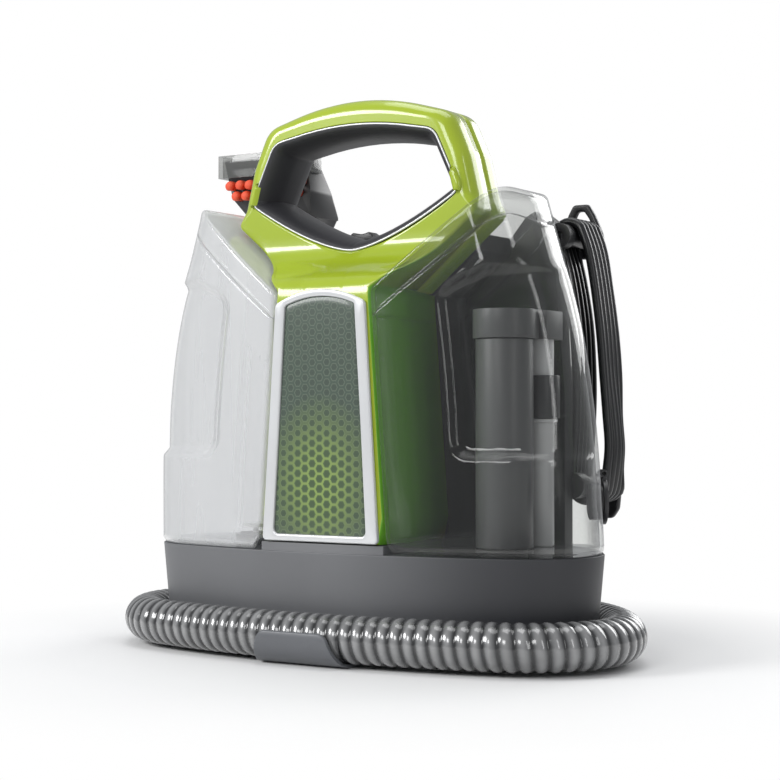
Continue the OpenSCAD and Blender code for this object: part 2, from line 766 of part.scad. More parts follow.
module spray_valve_stem() color("#dfe1e2")
  at(wand) y_rod([0,-19.3,spray_stem_z], spray_stem_r, 7.6);
// clip on the casing that holds the wand, open to the back
module wand_cradle() color("#2f3033") difference() {
  union() {
    at(wand) disc(118, 18.6, 16);
    box([-95,46,118], [32.8,12,16]);
    box([-65,44,114], [2.8,16,24]);
  }
  at(wand) disc(110, wand_r+0.2, 30);
  at(wand) box([-14,6,110], [28,30,30]);
}

// ================= stain tool that plugs on to the wand =================
// cross-sections: [z, left x, right x, front y, back y]
tool_waist = [276, -36, 24.5, -31, -7];
tool_mouth = [298.5, -41.5, 23, -32, -22.5];
window_gap = [0, -0.3, 0.3, -0.3, 0.3];
// tuft rows: [count, first x, z, length]
tuft_rows = [[8, -34.8, 284, 9.5], [7, -30, 277, 10]];
tuft_pitch = 7.7;

module tool_plate(section)
  box([section[1],section[3],section[0]], [section[2]-section[1],section[4]-section[3],2]);
module tool_taper(lower, upper) hull() {
  tool_plate(lower);
  tool_plate(upper);
}
module tufts(grow) for (row=tuft_rows) for (i=[0:row[0]-1])
  y_rod([row[1]+tuft_pitch*i,-38,row[2]], 3.1+grow, row[3]);
module tool_body() color("#4d5054") at(wand) difference() {
  union() {
    disc(236.3, 15, 16);
    hull() {
      disc(251, 14.8, 1.2, $fn=32);
      tool_plate([262,-24,20,-24,6]);
    }
    tool_taper([262,-26,21,-25,6], tool_waist);
    tool_taper(tool_waist, tool_mouth);
  }
  disc(230, spigot_r+clearance, 20.4);
  disc(230, 9, 27);
  tool_taper([250,-7,7,-7,5], [262,-14,14,-15,-1]);
  tool_taper([262,-20,16,-18,2], [276,-30,19,-23,-10]);
  tool_taper([276,-30,19,-23,-10], [300,-38.5,19.5,-29.5,-25]);
  // recess for the release button
  box([-5.2,12,239.8], [10.4,10,7.4]);
  // pockets for the tufts
  tufts(0.15);
}
module bristle_tufts() color("#e8502f") at(wand) tufts(0);
module tool_window() color([0.75,0.77,0.78,0.6]) at(wand) difference() {
  box([-44,-36,289], [69.6,16,14.5]);
  tool_taper(tool_waist + window_gap, tool_mouth + window_gap + [0.2,0,0,0,0]);
  box([-42,-34,287], [65.6,12,19]);
}
module tool_release_button() color("#9fc82c") at(wand) difference() {
  box([-5,13.7,240], [10,4.2,7]);
  for (z=[241.5,243.5,245.5]) box([-6,17.4,z-0.4], [12,2,0.8]);
}

base_tub();
base_plate();
rubber_feet();
base_screws();
hose_clip();
front_housing();
rear_housing();
handle_back_shell();
handle_grip_liner();
housing_screws();
badge_frame();
badge_panel();
power_switch_body();
power_rocker();
exhaust_grille();
upper_cord_hook();
hook_pivot_pin();
lower_cord_hook();
power_cord();
cord_strain_relief();
power_plug();
vacuum_motor();
motor_shaft();
impeller();
fan_housing();
motor_mount_rings();
pump_body();
pump_plunger();
pump_spring();
heater_block();
thermostat();
water_tubes();
recovery_duct();
air_duct();
wiring_harness();
tank_receivers();
clean_tank_shell();
clean_tank_top();
clean_fill_cap();
clean_valve_stem();
clean_valve_seal();
dirty_tank_shell();
dirty_tank_top();
inlet_riser();
air_tube();
separator_hood();
float_ring();
drain_cap();
suction_hose();
hose_port_elbow();
wand_hose_cuff();
wand_body();
spray_trigger();
trigger_pin();
spray_valve_stem();
wand_cradle();
tool_body();
tool_window();
bristle_tufts();
tool_release_button();
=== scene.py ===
# Spot extractor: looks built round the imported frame. Units here are millimetres, scaled on creation.
import bpy, bmesh, math, json
from mathutils import Vector, Matrix
import numpy as np


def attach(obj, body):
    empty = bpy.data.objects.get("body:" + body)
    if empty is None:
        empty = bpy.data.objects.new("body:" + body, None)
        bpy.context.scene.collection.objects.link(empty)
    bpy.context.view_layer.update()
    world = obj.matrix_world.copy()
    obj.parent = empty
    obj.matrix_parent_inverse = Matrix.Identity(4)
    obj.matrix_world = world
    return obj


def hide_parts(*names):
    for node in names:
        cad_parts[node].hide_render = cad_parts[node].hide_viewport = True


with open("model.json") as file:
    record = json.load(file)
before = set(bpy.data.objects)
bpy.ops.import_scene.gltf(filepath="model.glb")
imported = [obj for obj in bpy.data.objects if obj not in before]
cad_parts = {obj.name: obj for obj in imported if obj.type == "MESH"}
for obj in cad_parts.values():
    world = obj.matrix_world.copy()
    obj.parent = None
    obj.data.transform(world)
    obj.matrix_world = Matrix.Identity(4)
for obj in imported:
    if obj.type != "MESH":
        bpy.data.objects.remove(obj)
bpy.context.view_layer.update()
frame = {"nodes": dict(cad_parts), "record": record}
MM = 0.001
HALF = 142.0
scene = bpy.context.scene
COL = scene.collection

# ------------------------------------------------------------------ mesh helpers
def mesh_obj(name, verts, faces, mat, body, sharp=35, attrs=None, flip=None):
    me = bpy.data.meshes.new(name)
    me.from_pydata([(v[0]*MM, v[1]*MM, v[2]*MM) for v in verts], [], [tuple(f) for f in faces])
    me.update()
    bm = bmesh.new(); bm.from_mesh(me)
    if attrs is None:
        bmesh.ops.remove_doubles(bm, verts=bm.verts, dist=1e-6)
    if flip is None:
        bmesh.ops.recalc_face_normals(bm, faces=bm.faces)
    elif flip:
        bmesh.ops.reverse_faces(bm, faces=bm.faces)
    bm.to_mesh(me); bm.free()
    for p in me.polygons: p.use_smooth = True
    if sharp: me.set_sharp_from_angle(angle=math.radians(sharp))
    if attrs:
        for k, vals in attrs.items():
            a = me.attributes.new(k, 'FLOAT', 'POINT'); a.data.foreach_set('value', np.asarray(vals, dtype=np.float32))
    ob = bpy.data.objects.new(name, me); COL.objects.link(ob)
    me.materials.append(mat)
    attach(ob, body)
    return ob

def loft(rings, close=True, cap0=False, cap1=False):
    n = len(rings[0]); V = [p for r in rings for p in r]; F = []
    for i in range(len(rings)-1):
        for k in range(n if close else n-1):
            j = (k+1) % n
            F.append((i*n+k, i*n+j, (i+1)*n+j, (i+1)*n+k))
    if cap0: F.append(tuple(range(n))[::-1])
    if cap1: F.append(tuple(range((len(rings)-1)*n, len(rings)*n)))
    return V, F

def arc2(c, r, a0, a1, n):
    return [(c[0]+r*math.cos(math.radians(a0+(a1-a0)*i/n)), c[1]+r*math.sin(math.radians(a0+(a1-a0)*i/n))) for i in range(n+1)]

def outline(d=0.0, q=1.0):
    h = arc2((0,365), 440+d, -90, -75.8, int(24*q))[:-1] + arc2((HALF-45.1,-18), 45+d, -75.8, 25.1, int(26*q))[:-1] \
      + arc2((HALF-113.1,-49.8), 120+d, 25.1, 60, int(16*q))[:-1] + arc2((0,-99.9), 177.8+d, 60, 90, int(14*q))
    return h + [(-x, y) for x, y in h[-2:0:-1]]

def fillet_poly(pts, seg=8):
    """pts: [(x, y, r)], closed; corners of radius r become arcs."""
    out = []; n = len(pts)
    for i in range(n):
        x, y, r = pts[i]
        if r <= 0: out.append((x, y)); continue
        a = Vector(pts[i-1][:2]) - Vector((x, y)); b = Vector(pts[(i+1) % n][:2]) - Vector((x, y))
        la, lb = a.length, b.length; a.normalize(); b.normalize()
        ang = a.angle(b); t = min(r/math.tan(ang/2), 0.48*la, 0.48*lb); rr = t*math.tan(ang/2)
        p0 = Vector((x, y)) + a*t; p1 = Vector((x, y)) + b*t
        cdir = (a+b).normalized(); cc = Vector((x, y)) + cdir*(rr/math.sin(ang/2))
        v0 = p0-cc; v1 = p1-cc
        a0 = math.atan2(v0.y, v0.x); a1 = math.atan2(v1.y, v1.x); da = (a1-a0+math.pi) % (2*math.pi) - math.pi
        for k in range(seg+1):
            t_ = a0+da*k/seg; out.append((cc.x+rr*math.cos(t_), cc.y+rr*math.sin(t_)))
    return out

def resample(pts, step, closed=True):
    P = [Vector(p) for p in pts]
    if closed: P = P + [P[0]]
    L = [0.0]
    for i in range(len(P)-1): L.append(L[-1]+(P[i+1]-P[i]).length)
    n = max(8, int(round(L[-1]/step))); out = []; j = 0
    for k in range(n if closed else n+1):
        s = L[-1]*k/n
        while j < len(L)-2 and L[j+1] < s: j += 1
        d = L[j+1]-L[j]; t = 0 if d < 1e-9 else (s-L[j])/d
        out.append(tuple(P[j].lerp(P[j+1], min(max(t, 0), 1))))
    return out

def smooth(t): t = min(max(t, 0.0), 1.0); return t*t*(3-2*t)

def add_mod(ob, kind, **kw):
    m = ob.modifiers.new(kind.lower(), kind)
    for k, v in kw.items(): setattr(m, k, v)
    return m

def tube(name, pts, r, mat, body, n=14, closed=False, rfun=None):
    """round tube swept along a 3-D polyline with parallel-transport frames."""
    P = [Vector(p) for p in pts]; N = len(P); T = []
    for i in range(N):
        if closed: T.append((P[(i+1) % N]-P[i-1]).normalized())
        else: T.append((P[min(i+1, N-1)]-P[max(i-1, 0)]).normalized())
    ref = Vector((0, 0, 1)) if abs(T[0].z) < 0.9 else Vector((1, 0, 0))
    u = (ref - T[0]*ref.dot(T[0])).normalized(); rings = []
    for i in range(N):
        u = (u - T[i]*u.dot(T[i])).normalized(); v = T[i].cross(u)
        rr = r if rfun is None else rfun(i)
        rings.append([tuple(P[i] + u*(rr*math.cos(2*math.pi*k/n)) + v*(rr*math.sin(2*math.pi*k/n))) for k in range(n)])
    if closed: rings.append(rings[0])
    V, F = loft(rings, True, not closed, not closed)
    return mesh_obj(name, V, F, mat, body, sharp=50)

def slab(name, poly, y0, y1, mat, body, bevel=0.8, seg=3, plane='xz', sharp=35):
    """a plate from a closed 2-D outline, with rounded edges; plane says which axes the outline is in."""
    P = poly; n = len(P)
    def off(d):
        out = []
        for i in range(n):
            a = Vector(P[i])-Vector(P[i-1]); b = Vector(P[(i+1) % n])-Vector(P[i])
            na = Vector((a.y, -a.x)).normalized() if a.length > 1e-9 else Vector((0, 0)); nb = Vector((b.y, -b.x)).normalized() if b.length > 1e-9 else na
            if a.length <= 1e-9: na = nb
            m = (na+nb); m = m.normalized() if m.length > 1e-6 else na
            c = max(0.35, m.dot(na)); out.append((P[i][0]-m.x*d/c*sgn, P[i][1]-m.y*d/c*sgn))
        return out
    area = sum(P[i-1][0]*P[i][1]-P[i][0]*P[i-1][1] for i in range(n)); sgn = 1 if area > 0 else -1
    lv = []
    for k in range(seg+1):
        a = math.pi/2*k/seg; lv.append((bevel*(1-math.sin(a)), y0+bevel*(1-math.cos(a))))
    for k in range(seg+1):
        a = math.pi/2*k/seg; lv.append((bevel*(1-math.cos(a)), y1-bevel*(1-math.sin(a))))
    rings = []
    for d, y in lv:
        o = off(d)
        rings.append([{'xz': (p[0], y, p[1]), 'xy': (p[0], p[1], y), 'yz': (y, p[0], p[1])}[plane] for p in o])
    V, F = loft(rings, True, True, True)
    return mesh_obj(name, V, F, mat, body, sharp=sharp)

# ------------------------------------------------------------------ materials
def new_mat(name):
    m = bpy.data.materials.new(name); m.use_nodes = True
    nt = m.node_tree; nt.nodes.clear()
    out = nt.nodes.new('ShaderNodeOutputMaterial')
    return m, nt, out
def nd(nt, kind, **kw):
    n = nt.nodes.new(kind)
    for k, v in kw.items():
        if k in n.inputs: n.inputs[k].default_value = v
        else: setattr(n, k, v)
    return n
def ramp(nt, stops):
    r = nt.nodes.new('ShaderNodeValToRGB'); e = r.color_ramp.elements
    while len(e) < len(stops): e.new(0.5)
    for i, (p, c) in enumerate(stops): e[i].position = p; e[i].color = (c[0], c[1], c[2], 1)
    return r

def plastic(name, col, rough=0.4, grain=900.0, bump=0.06, var=0.06, coat=0.0, metal=0.0, edge=0.15, spec=0.5, side=None, byn=False):
    """moulded plastic: fine grain, slight colour drift, painted highlight on sharp convex edges"""
    m, nt, out = new_mat(name); L = nt.links.new
    b = nd(nt, 'ShaderNodeBsdfPrincipled'); L(b.outputs[0], out.inputs[0])
    tc = nd(nt, 'ShaderNodeTexCoord')
    n1 = nd(nt, 'ShaderNodeTexNoise'); n1.inputs['Scale'].default_value = 14; n1.inputs['Detail'].default_value = 3; L(tc.outputs['Object'], n1.inputs['Vector'])
    n2 = nd(nt, 'ShaderNodeTexNoise'); n2.inputs['Scale'].default_value = grain; n2.inputs['Detail'].default_value = 2; L(tc.outputs['Object'], n2.inputs['Vector'])
    c0 = [max(0, x*(1-var)) for x in col]; c1 = [min(1, x*(1+var)) for x in col]
    r = ramp(nt, [(0.3, c0), (0.7, c1)]); L(n1.outputs['Fac'], r.inputs[0])
    geo = nd(nt, 'ShaderNodeNewGeometry')
    # painted edge highlight: pointiness picks out sharp convex edges and mixes them toward a lighter colour, up to the
    # edge amount
    edge_highlight_fac = nd(nt, 'ShaderNodeMapRange'); edge_highlight_fac.inputs['From Min'].default_value = 0.53; edge_highlight_fac.inputs['From Max'].default_value = 0.62; edge_highlight_fac.inputs['To Max'].default_value = edge
    L(geo.outputs['Pointiness'], edge_highlight_fac.inputs['Value'])
    mx = nd(nt, 'ShaderNodeMix', data_type='RGBA', blend_type='MIX'); L(edge_highlight_fac.outputs[0], mx.inputs['Factor']); L(r.outputs[0], mx.inputs['A'])
    mx.inputs['B'].default_value = (min(1, col[0]*1.5+0.08), min(1, col[1]*1.5+0.08), min(1, col[2]*1.5+0.08), 1)
    last = mx.outputs['Result']
    if side:
        # painted shade: a second, shaded colour that takes over across X (object X, or the normal's X when byn is
        # set), and fades out again above a height
        painted_shade_col, x0, x1, z0, z1 = side
        sx = nd(nt, 'ShaderNodeSeparateXYZ'); L(tc.outputs['Object'], sx.inputs[0])
        nx = nd(nt, 'ShaderNodeSeparateXYZ'); L(geo.outputs['Normal'], nx.inputs[0]); src = nx if byn else sx
        fx = nd(nt, 'ShaderNodeMapRange', interpolation_type='SMOOTHSTEP'); fx.inputs['From Min'].default_value = x0; fx.inputs['From Max'].default_value = x1; L(src.outputs['X'], fx.inputs['Value'])
        fz = nd(nt, 'ShaderNodeMapRange', interpolation_type='SMOOTHSTEP'); fz.inputs['From Min'].default_value = z1; fz.inputs['From Max'].default_value = z0; L(sx.outputs['Z'], fz.inputs['Value'])
        painted_shade_fac = nd(nt, 'ShaderNodeMath', operation='MULTIPLY'); L(fx.outputs[0], painted_shade_fac.inputs[0]); L(fz.outputs[0], painted_shade_fac.inputs[1])
        m3 = nd(nt, 'ShaderNodeMix', data_type='RGBA', blend_type='MIX'); L(painted_shade_fac.outputs[0], m3.inputs['Factor']); L(last, m3.inputs['A']); m3.inputs['B'].default_value = (*painted_shade_col, 1); last = m3.outputs['Result']
    L(last, b.inputs['Base Color'])
    rr = nd(nt, 'ShaderNodeMapRange'); rr.inputs['To Min'].default_value = rough*0.88; rr.inputs['To Max'].default_value = min(1, rough*1.12); L(n1.outputs['Fac'], rr.inputs['Value']); L(rr.outputs[0], b.inputs['Roughness'])
    bp = nd(nt, 'ShaderNodeBump'); bp.inputs['Strength'].default_value = bump; bp.inputs['Distance'].default_value = 0.0002; L(n2.outputs['Fac'], bp.inputs['Height']); L(bp.outputs[0], b.inputs['Normal'])
    b.inputs['Metallic'].default_value = metal; b.inputs['Coat Weight'].default_value = coat; b.inputs['Coat Roughness'].default_value = 0.06
    b.inputs['Specular IOR Level'].default_value = spec
    return m

def clear_plastic(name, tint, body_col, body=0.25, rough=0.04, gloss=0.9, streak=0.0, grow=0.45, f0=0.045):
    """thin clear wall: tinted see-through, some milky body, sharp reflections that grow at grazing angles"""
    m, nt, out = new_mat(name); L = nt.links.new
    tr = nd(nt, 'ShaderNodeBsdfTransparent'); tr.inputs[0].default_value = (*tint, 1)
    df = nd(nt, 'ShaderNodeBsdfPrincipled'); df.inputs['Base Color'].default_value = (*body_col, 1); df.inputs['Roughness'].default_value = 0.35
    gl = nd(nt, 'ShaderNodeBsdfGlossy'); gl.inputs['Roughness'].default_value = rough; gl.inputs[0].default_value = (1, 1, 1, 1)
    tc = nd(nt, 'ShaderNodeTexCoord'); mp = nd(nt, 'ShaderNodeMapping'); mp.inputs['Scale'].default_value = (60, 60, 4); L(tc.outputs['Object'], mp.inputs[0])
    ns = nd(nt, 'ShaderNodeTexNoise'); ns.inputs['Scale'].default_value = 1.0; ns.inputs['Detail'].default_value = 2; L(mp.outputs[0], ns.inputs['Vector'])
    lw = nd(nt, 'ShaderNodeLayerWeight'); lw.inputs['Blend'].default_value = 0.35
    f1 = nd(nt, 'ShaderNodeMapRange'); f1.inputs['To Min'].default_value = body; f1.inputs['To Max'].default_value = min(1, body+grow)
    pw = nd(nt, 'ShaderNodeMath', operation='POWER'); pw.inputs[1].default_value = 2.2; L(lw.outputs['Facing'], pw.inputs[0]); L(pw.outputs[0], f1.inputs['Value'])
    ad = nd(nt, 'ShaderNodeMath', operation='MULTIPLY_ADD'); L(ns.outputs['Fac'], ad.inputs[0]); ad.inputs[1].default_value = streak; L(f1.outputs[0], ad.inputs[2])
    s2 = nd(nt, 'ShaderNodeMath', operation='SUBTRACT'); L(ad.outputs[0], s2.inputs[0]); s2.inputs[1].default_value = streak*0.5
    m1 = nd(nt, 'ShaderNodeMixShader'); L(s2.outputs[0], m1.inputs[0]); L(tr.outputs[0], m1.inputs[1]); L(df.outputs[0], m1.inputs[2])
    l2 = nd(nt, 'ShaderNodeLayerWeight'); l2.inputs['Blend'].default_value = 0.5
    p5 = nd(nt, 'ShaderNodeMath', operation='POWER'); p5.inputs[1].default_value = 5.0; L(l2.outputs['Facing'], p5.inputs[0])
    fr = nd(nt, 'ShaderNodeMath', operation='MULTIPLY_ADD'); fr.inputs[1].default_value = 0.9; fr.inputs[2].default_value = f0; L(p5.outputs[0], fr.inputs[0])
    fm = nd(nt, 'ShaderNodeMath', operation='MULTIPLY'); fm.inputs[1].default_value = gloss; L(fr.outputs[0], fm.inputs[0])
    m2 = nd(nt, 'ShaderNodeMixShader'); L(fm.outputs[0], m2.inputs[0]); L(m1.outputs[0], m2.inputs[1]); L(gl.outputs[0], m2.inputs[2])
    L(m2.outputs[0], out.inputs[0])
    return m

# painted shade: faces turned towards +X on the column and lower handle take a deeper, darker green, fading out from Z
# 0.215 up to 0.262 m
GREEN = plastic('green_gloss', (0.33, 0.43, 0.018), 0.24, grain=500, bump=0.015, var=0.03, coat=0.6, edge=0.05, side=((0.155, 0.44, 0.030), 0.45, 0.85, 0.215, 0.262), byn=True)
# painted shade: a darker, shaded copy of the green for the casing side seen through the tank; not assigned to any
# piece
GREEN_SHADED_COPY = plastic('green_painted_shade', (0.085, 0.25, 0.012), 0.2, grain=500, bump=0.01, var=0.05, coat=0.5, edge=0.02)
# painted shade: the base colour darkens towards +X, from X 0 to 0.115 m, for the shaded right side
SLATE = plastic('base_slate', (0.128, 0.131, 0.138), 0.48, grain=1500, bump=0.10, var=0.05, edge=0.10, side=((0.024, 0.025, 0.029), 0.0, 0.115, 1.0, 1.1))
REAR = plastic('rear_grey', (0.010, 0.0104, 0.0115), 0.45, grain=1500, bump=0.10, var=0.06, edge=0.05)
BLACK = plastic('black_satin', (0.014, 0.014, 0.016), 0.34, grain=900, bump=0.05, var=0.1, edge=0.25)
CHAR = plastic('charcoal_grip', (0.030, 0.030, 0.034), 0.42, grain=1700, bump=0.12, var=0.08, edge=0.22)
SILVER = plastic('silver_trim', (0.66, 0.67, 0.68), 0.26, grain=1200, bump=0.02, var=0.03, metal=0.35, edge=0.1)
GREY = plastic('grey_satin', (0.115, 0.118, 0.125), 0.42, grain=1200, bump=0.07, var=0.06)
GREY_LT = plastic('grey_light', (0.22, 0.225, 0.235), 0.40, grain=1200, bump=0.07, var=0.06)
RUBBER = plastic('rubber_black', (0.012, 0.012, 0.013), 0.72, grain=1100, bump=0.18, var=0.15)
STEEL = plastic('zinc_steel', (0.60, 0.61, 0.62), 0.28, grain=700, bump=0.05, var=0.08, metal=1.0)
ALU = plastic('cast_alu', (0.62, 0.63, 0.64), 0.42, grain=500, bump=0.15, var=0.06, metal=1.0)
NYLON = plastic('nylon_white', (0.72, 0.71, 0.67), 0.45, grain=900, bump=0.05, var=0.03)
CORD = plastic('cord_black', (0.010, 0.0105, 0.0115), 0.30, grain=700, bump=0.05, var=0.1, edge=0.1)
WIRE = plastic('wire_red', (0.30, 0.03, 0.02), 0.4)
BRISTLE = plastic('bristle_red', (0.78, 0.085, 0.030), 0.6, grain=2500, bump=0.6, var=0.15, edge=0.25)
CLEAN = clear_plastic('clear_tank', (0.94, 0.945, 0.95), (0.78, 0.785, 0.79), body=0.27, rough=0.06, gloss=0.8, streak=0.12, grow=0.50)
SMOKE = clear_plastic('smoke_tank', (0.925, 0.93, 0.925), (0.34, 0.34, 0.345), body=0.004, rough=0.03, gloss=1.0, streak=0.006, grow=0.40, f0=0.024)
CLEARLIP = clear_plastic('clear_lip', (0.72, 0.725, 0.72), (0.30, 0.305, 0.30), body=0.16, rough=0.05, gloss=1.0, f0=0.02)
# painted shade: the riser and separator hood darken past X 0.08-0.10 m, for their shaded right side
RISER = plastic('riser_grey', (0.115, 0.116, 0.119), 0.38, grain=1200, bump=0.05, var=0.05, edge=0.1, side=((0.06, 0.06, 0.062), 0.08, 0.10, 1.0, 1.1))
TUBE_LT = plastic('tube_light', (0.42, 0.42, 0.425), 0.36, grain=1200, bump=0.05, var=0.04, edge=0.1)
TUBECLR = clear_plastic('tube_clear', (0.85, 0.88, 0.9), (0.5, 0.55, 0.58), body=0.4, rough=0.15)

def badge_mat():
    """printed face: a fine honeycomb that grows from small light rings at the top to a bright lime grid low down"""
    m, nt, out = new_mat('badge_face'); L = nt.links.new
    b = nd(nt, 'ShaderNodeBsdfPrincipled'); L(b.outputs[0], out.inputs[0]); b.inputs['Roughness'].default_value = 0.38; b.inputs['Coat Weight'].default_value = 0.25
    tc = nd(nt, 'ShaderNodeTexCoord'); sp = nd(nt, 'ShaderNodeSeparateXYZ'); L(tc.outputs['Object'], sp.inputs[0])
    def M(op, a, b_=None, c=None):
        n = nd(nt, 'ShaderNodeMath', operation=op)
        for i, v in enumerate((a, b_, c)):
            if v is None: continue
            if isinstance(v, (int, float)): n.inputs[i].default_value = v
            else: L(v, n.inputs[i])
        return n.outputs[0]
    X, Z = sp.outputs['X'], sp.outputs['Z']
    P = 0.0056; W = P*math.sqrt(3)   # centre pitch; columns P*0.866 apart, staggered by half a pitch
    def cell(ox, oz):
        u = M('SUBTRACT', M('MODULO', M('ADD', X, 10*W+ox), W), W/2)
        v = M('SUBTRACT', M('MODULO', M('ADD', Z, oz), P), P/2)
        u = M('ABSOLUTE', u); v = M('ABSOLUTE', v)
        # distance to the edge of a flat-top hexagon: max(v, 0.866u + 0.5v)
        return M('MAXIMUM', v, M('ADD', M('MULTIPLY', u, 0.8660254), M('MULTIPLY', v, 0.5)))
    h = M('MINIMUM', cell(0, 0), cell(W/2, P/2))          # 0 at a centre, P/2 at the grid
    hn = M('DIVIDE', h, P/2)
    # strength of the lime glow, low and central
    gx = M('DIVIDE', X, 0.040); gz = M('DIVIDE', M('SUBTRACT', Z, 0.098), 0.050)
    g = M('SUBTRACT', 1.0, M('ADD', M('MULTIPLY', gx, gx), M('MULTIPLY', gz, gz)))
    g = nd(nt, 'ShaderNodeClamp'); 
    L(M('SUBTRACT', 1.0, M('ADD', M('MULTIPLY', gx, gx), M('MULTIPLY', gz, gz))), g.inputs[0]); g = g.outputs[0]
    # top: separate rings (band at 0.62..0.80); bottom: grid lines (0.80..1)
    ring = M('MULTIPLY', M('GREATER_THAN', hn, 0.60), M('LESS_THAN', hn, 0.80))
    grid = M('GREATER_THAN', hn, 0.78)
    base = ramp(nt, [(0.0, (0.040, 0.060, 0.045)), (1.0, (0.050, 0.085, 0.035))]); L(g, base.inputs[0])
    ringc = ramp(nt, [(0.0, (0.088, 0.118, 0.085)), (0.6, (0.11, 0.16, 0.07)), (1.0, (0.07, 0.12, 0.04))]); L(g, ringc.inputs[0])
    gridc = ramp(nt, [(0.0, (0.045, 0.070, 0.052)), (0.5, (0.085, 0.125, 0.055)), (1.0, (0.20, 0.285, 0.075))]); L(g, gridc.inputs[0])
    m1 = nd(nt, 'ShaderNodeMix', data_type='RGBA'); L(ring, m1.inputs['Factor']); L(base.outputs[0], m1.inputs['A']); L(ringc.outputs[0], m1.inputs['B'])
    m2 = nd(nt, 'ShaderNodeMix', data_type='RGBA'); L(grid, m2.inputs['Factor']); L(m1.outputs['Result'], m2.inputs['A']); L(gridc.outputs[0], m2.inputs['B'])
    L(m2.outputs['Result'], b.inputs['Base Color'])
    bp = nd(nt, 'ShaderNodeBump'); bp.inputs['Strength'].default_value = 0.25; bp.inputs['Distance'].default_value = 0.0002; L(grid, bp.inputs['Height']); L(bp.outputs[0], b.inputs['Normal'])
    return m
BADGE = badge_mat()

def hose_mat():
    """smoke-grey corrugated hose, glossy, with painted shade darkening the valleys between the ribs; the rib crests
    keep the lighter grey
    """
    m, nt, out = new_mat('hose_clear'); L = nt.links.new
    b = nd(nt, 'ShaderNodeBsdfPrincipled'); L(b.outputs[0], out.inputs[0])
    at = nd(nt, 'ShaderNodeAttribute', attribute_name='rib_shade_mask')
    tc = nd(nt, 'ShaderNodeTexCoord'); ns = nd(nt, 'ShaderNodeTexNoise'); ns.inputs['Scale'].default_value = 70; ns.inputs['Detail'].default_value = 3; L(tc.outputs['Object'], ns.inputs['Vector'])
    # painted shade: the rib mask sends the valleys (0) to near-black and the crests (1) to grey
    r = ramp(nt, [(0.0, (0.022, 0.023, 0.024)), (0.35, (0.05, 0.051, 0.053)), (0.62, (0.16, 0.162, 0.165)), (0.86, (0.27, 0.272, 0.275)), (1.0, (0.34, 0.342, 0.345))]); L(at.outputs['Fac'], r.inputs[0])
    mx = nd(nt, 'ShaderNodeMix', data_type='RGBA', blend_type='MULTIPLY'); mx.inputs['Factor'].default_value = 0.55; L(r.outputs[0], mx.inputs['A']); L(ns.outputs['Fac'], mx.inputs['B'])
    L(mx.outputs['Result'], b.inputs['Base Color']); b.inputs['Roughness'].default_value = 0.20; b.inputs['Metallic'].default_value = 0.25; b.inputs['Coat Weight'].default_value = 0.6
    b.inputs['Subsurface Weight'].default_value = 0.0
    return m
HOSE = hose_mat()

# ------------------------------------------------------------------ carried-over CAD nodes
CAD_MATS = {}
def put(mat, *names):
    for n in names: CAD_MATS[n] = mat
put(BLACK, 'base_plate', 'exhaust_grille', 'power_switch_body', 'recovery_duct', 'air_duct', 'hose_port_elbow', 'wand_hose_cuff', 'wand_cradle', 'drain_cap', 'clean_fill_cap', 'float_ring', 'power_rocker', 'upper_cord_hook', 'lower_cord_hook')
put(RUBBER, 'rubber_feet', 'motor_mount_rings', 'tank_receivers', 'clean_valve_seal', 'cord_strain_relief')
put(STEEL, 'base_screws', 'housing_screws', 'hook_pivot_pin', 'motor_shaft', 'pump_spring', 'trigger_pin', 'pump_plunger', 'vacuum_motor')
put(GREEN, 'front_housing', 'handle_back_shell', 'spray_trigger', 'tool_release_button')
put(GREY, 'fan_housing', 'pump_body', 'wand_body')
put(RISER, 'inlet_riser', 'separator_hood'); put(TUBE_LT, 'air_tube'); put(BLACK, 'tool_body')
put(REAR, 'rear_housing')
put(SLATE, 'base_tub', 'hose_clip')
put(CHAR, 'handle_grip_liner'); put(SILVER, 'badge_frame'); put(BADGE, 'badge_panel')
put(CORD, 'power_cord', 'power_plug'); put(ALU, 'impeller', 'heater_block')
put(NYLON, 'thermostat', 'clean_valve_stem', 'spray_valve_stem'); put(TUBECLR, 'water_tubes'); put(WIRE, 'wiring_harness')
put(CLEAN, 'clean_tank_shell', 'clean_tank_top'); put(CLEARLIP, 'tool_window'); put(SMOKE, 'dirty_tank_shell', 'dirty_tank_top')
put(GREY_LT, 'suction_hose'); put(BRISTLE, 'bristle_tufts')
def dress_cad():
    for n, ob in frame["nodes"].items():
        m = CAD_MATS.get(n, GREY)
        if not ob.material_slots: ob.data.materials.append(m)
        for s in ob.material_slots: s.material = m

# ------------------------------------------------------------------ tanks
def roof(x, k=4.0):
    l1 = 204.6+0.8074*(x-31.2); l2 = 260.5-0.70*(x-103); m = min(l1, l2)
    return m - k*math.log(math.exp(-(l1-m)/k)+math.exp(-(l2-m)/k))

def tank_loop(step):
    a = arc2((0,365), 440, -90+math.degrees(math.asin(50/440)), -75.8, 14)[:-1] + arc2((HALF-45.1,-18), 45, -75.8, 25.1, 26)[:-1] \
      + arc2((HALF-113.1,-49.8), 120, 25.1, 40, 6)
    yf = 365-math.sqrt(440**2-42**2)
    P = [(42, yf, 4)] + [(x, y, 0) for x, y in a] + [(111.8, 37, 12), (42, 37, 6)]
    return resample(fillet_poly(P, 6), step)

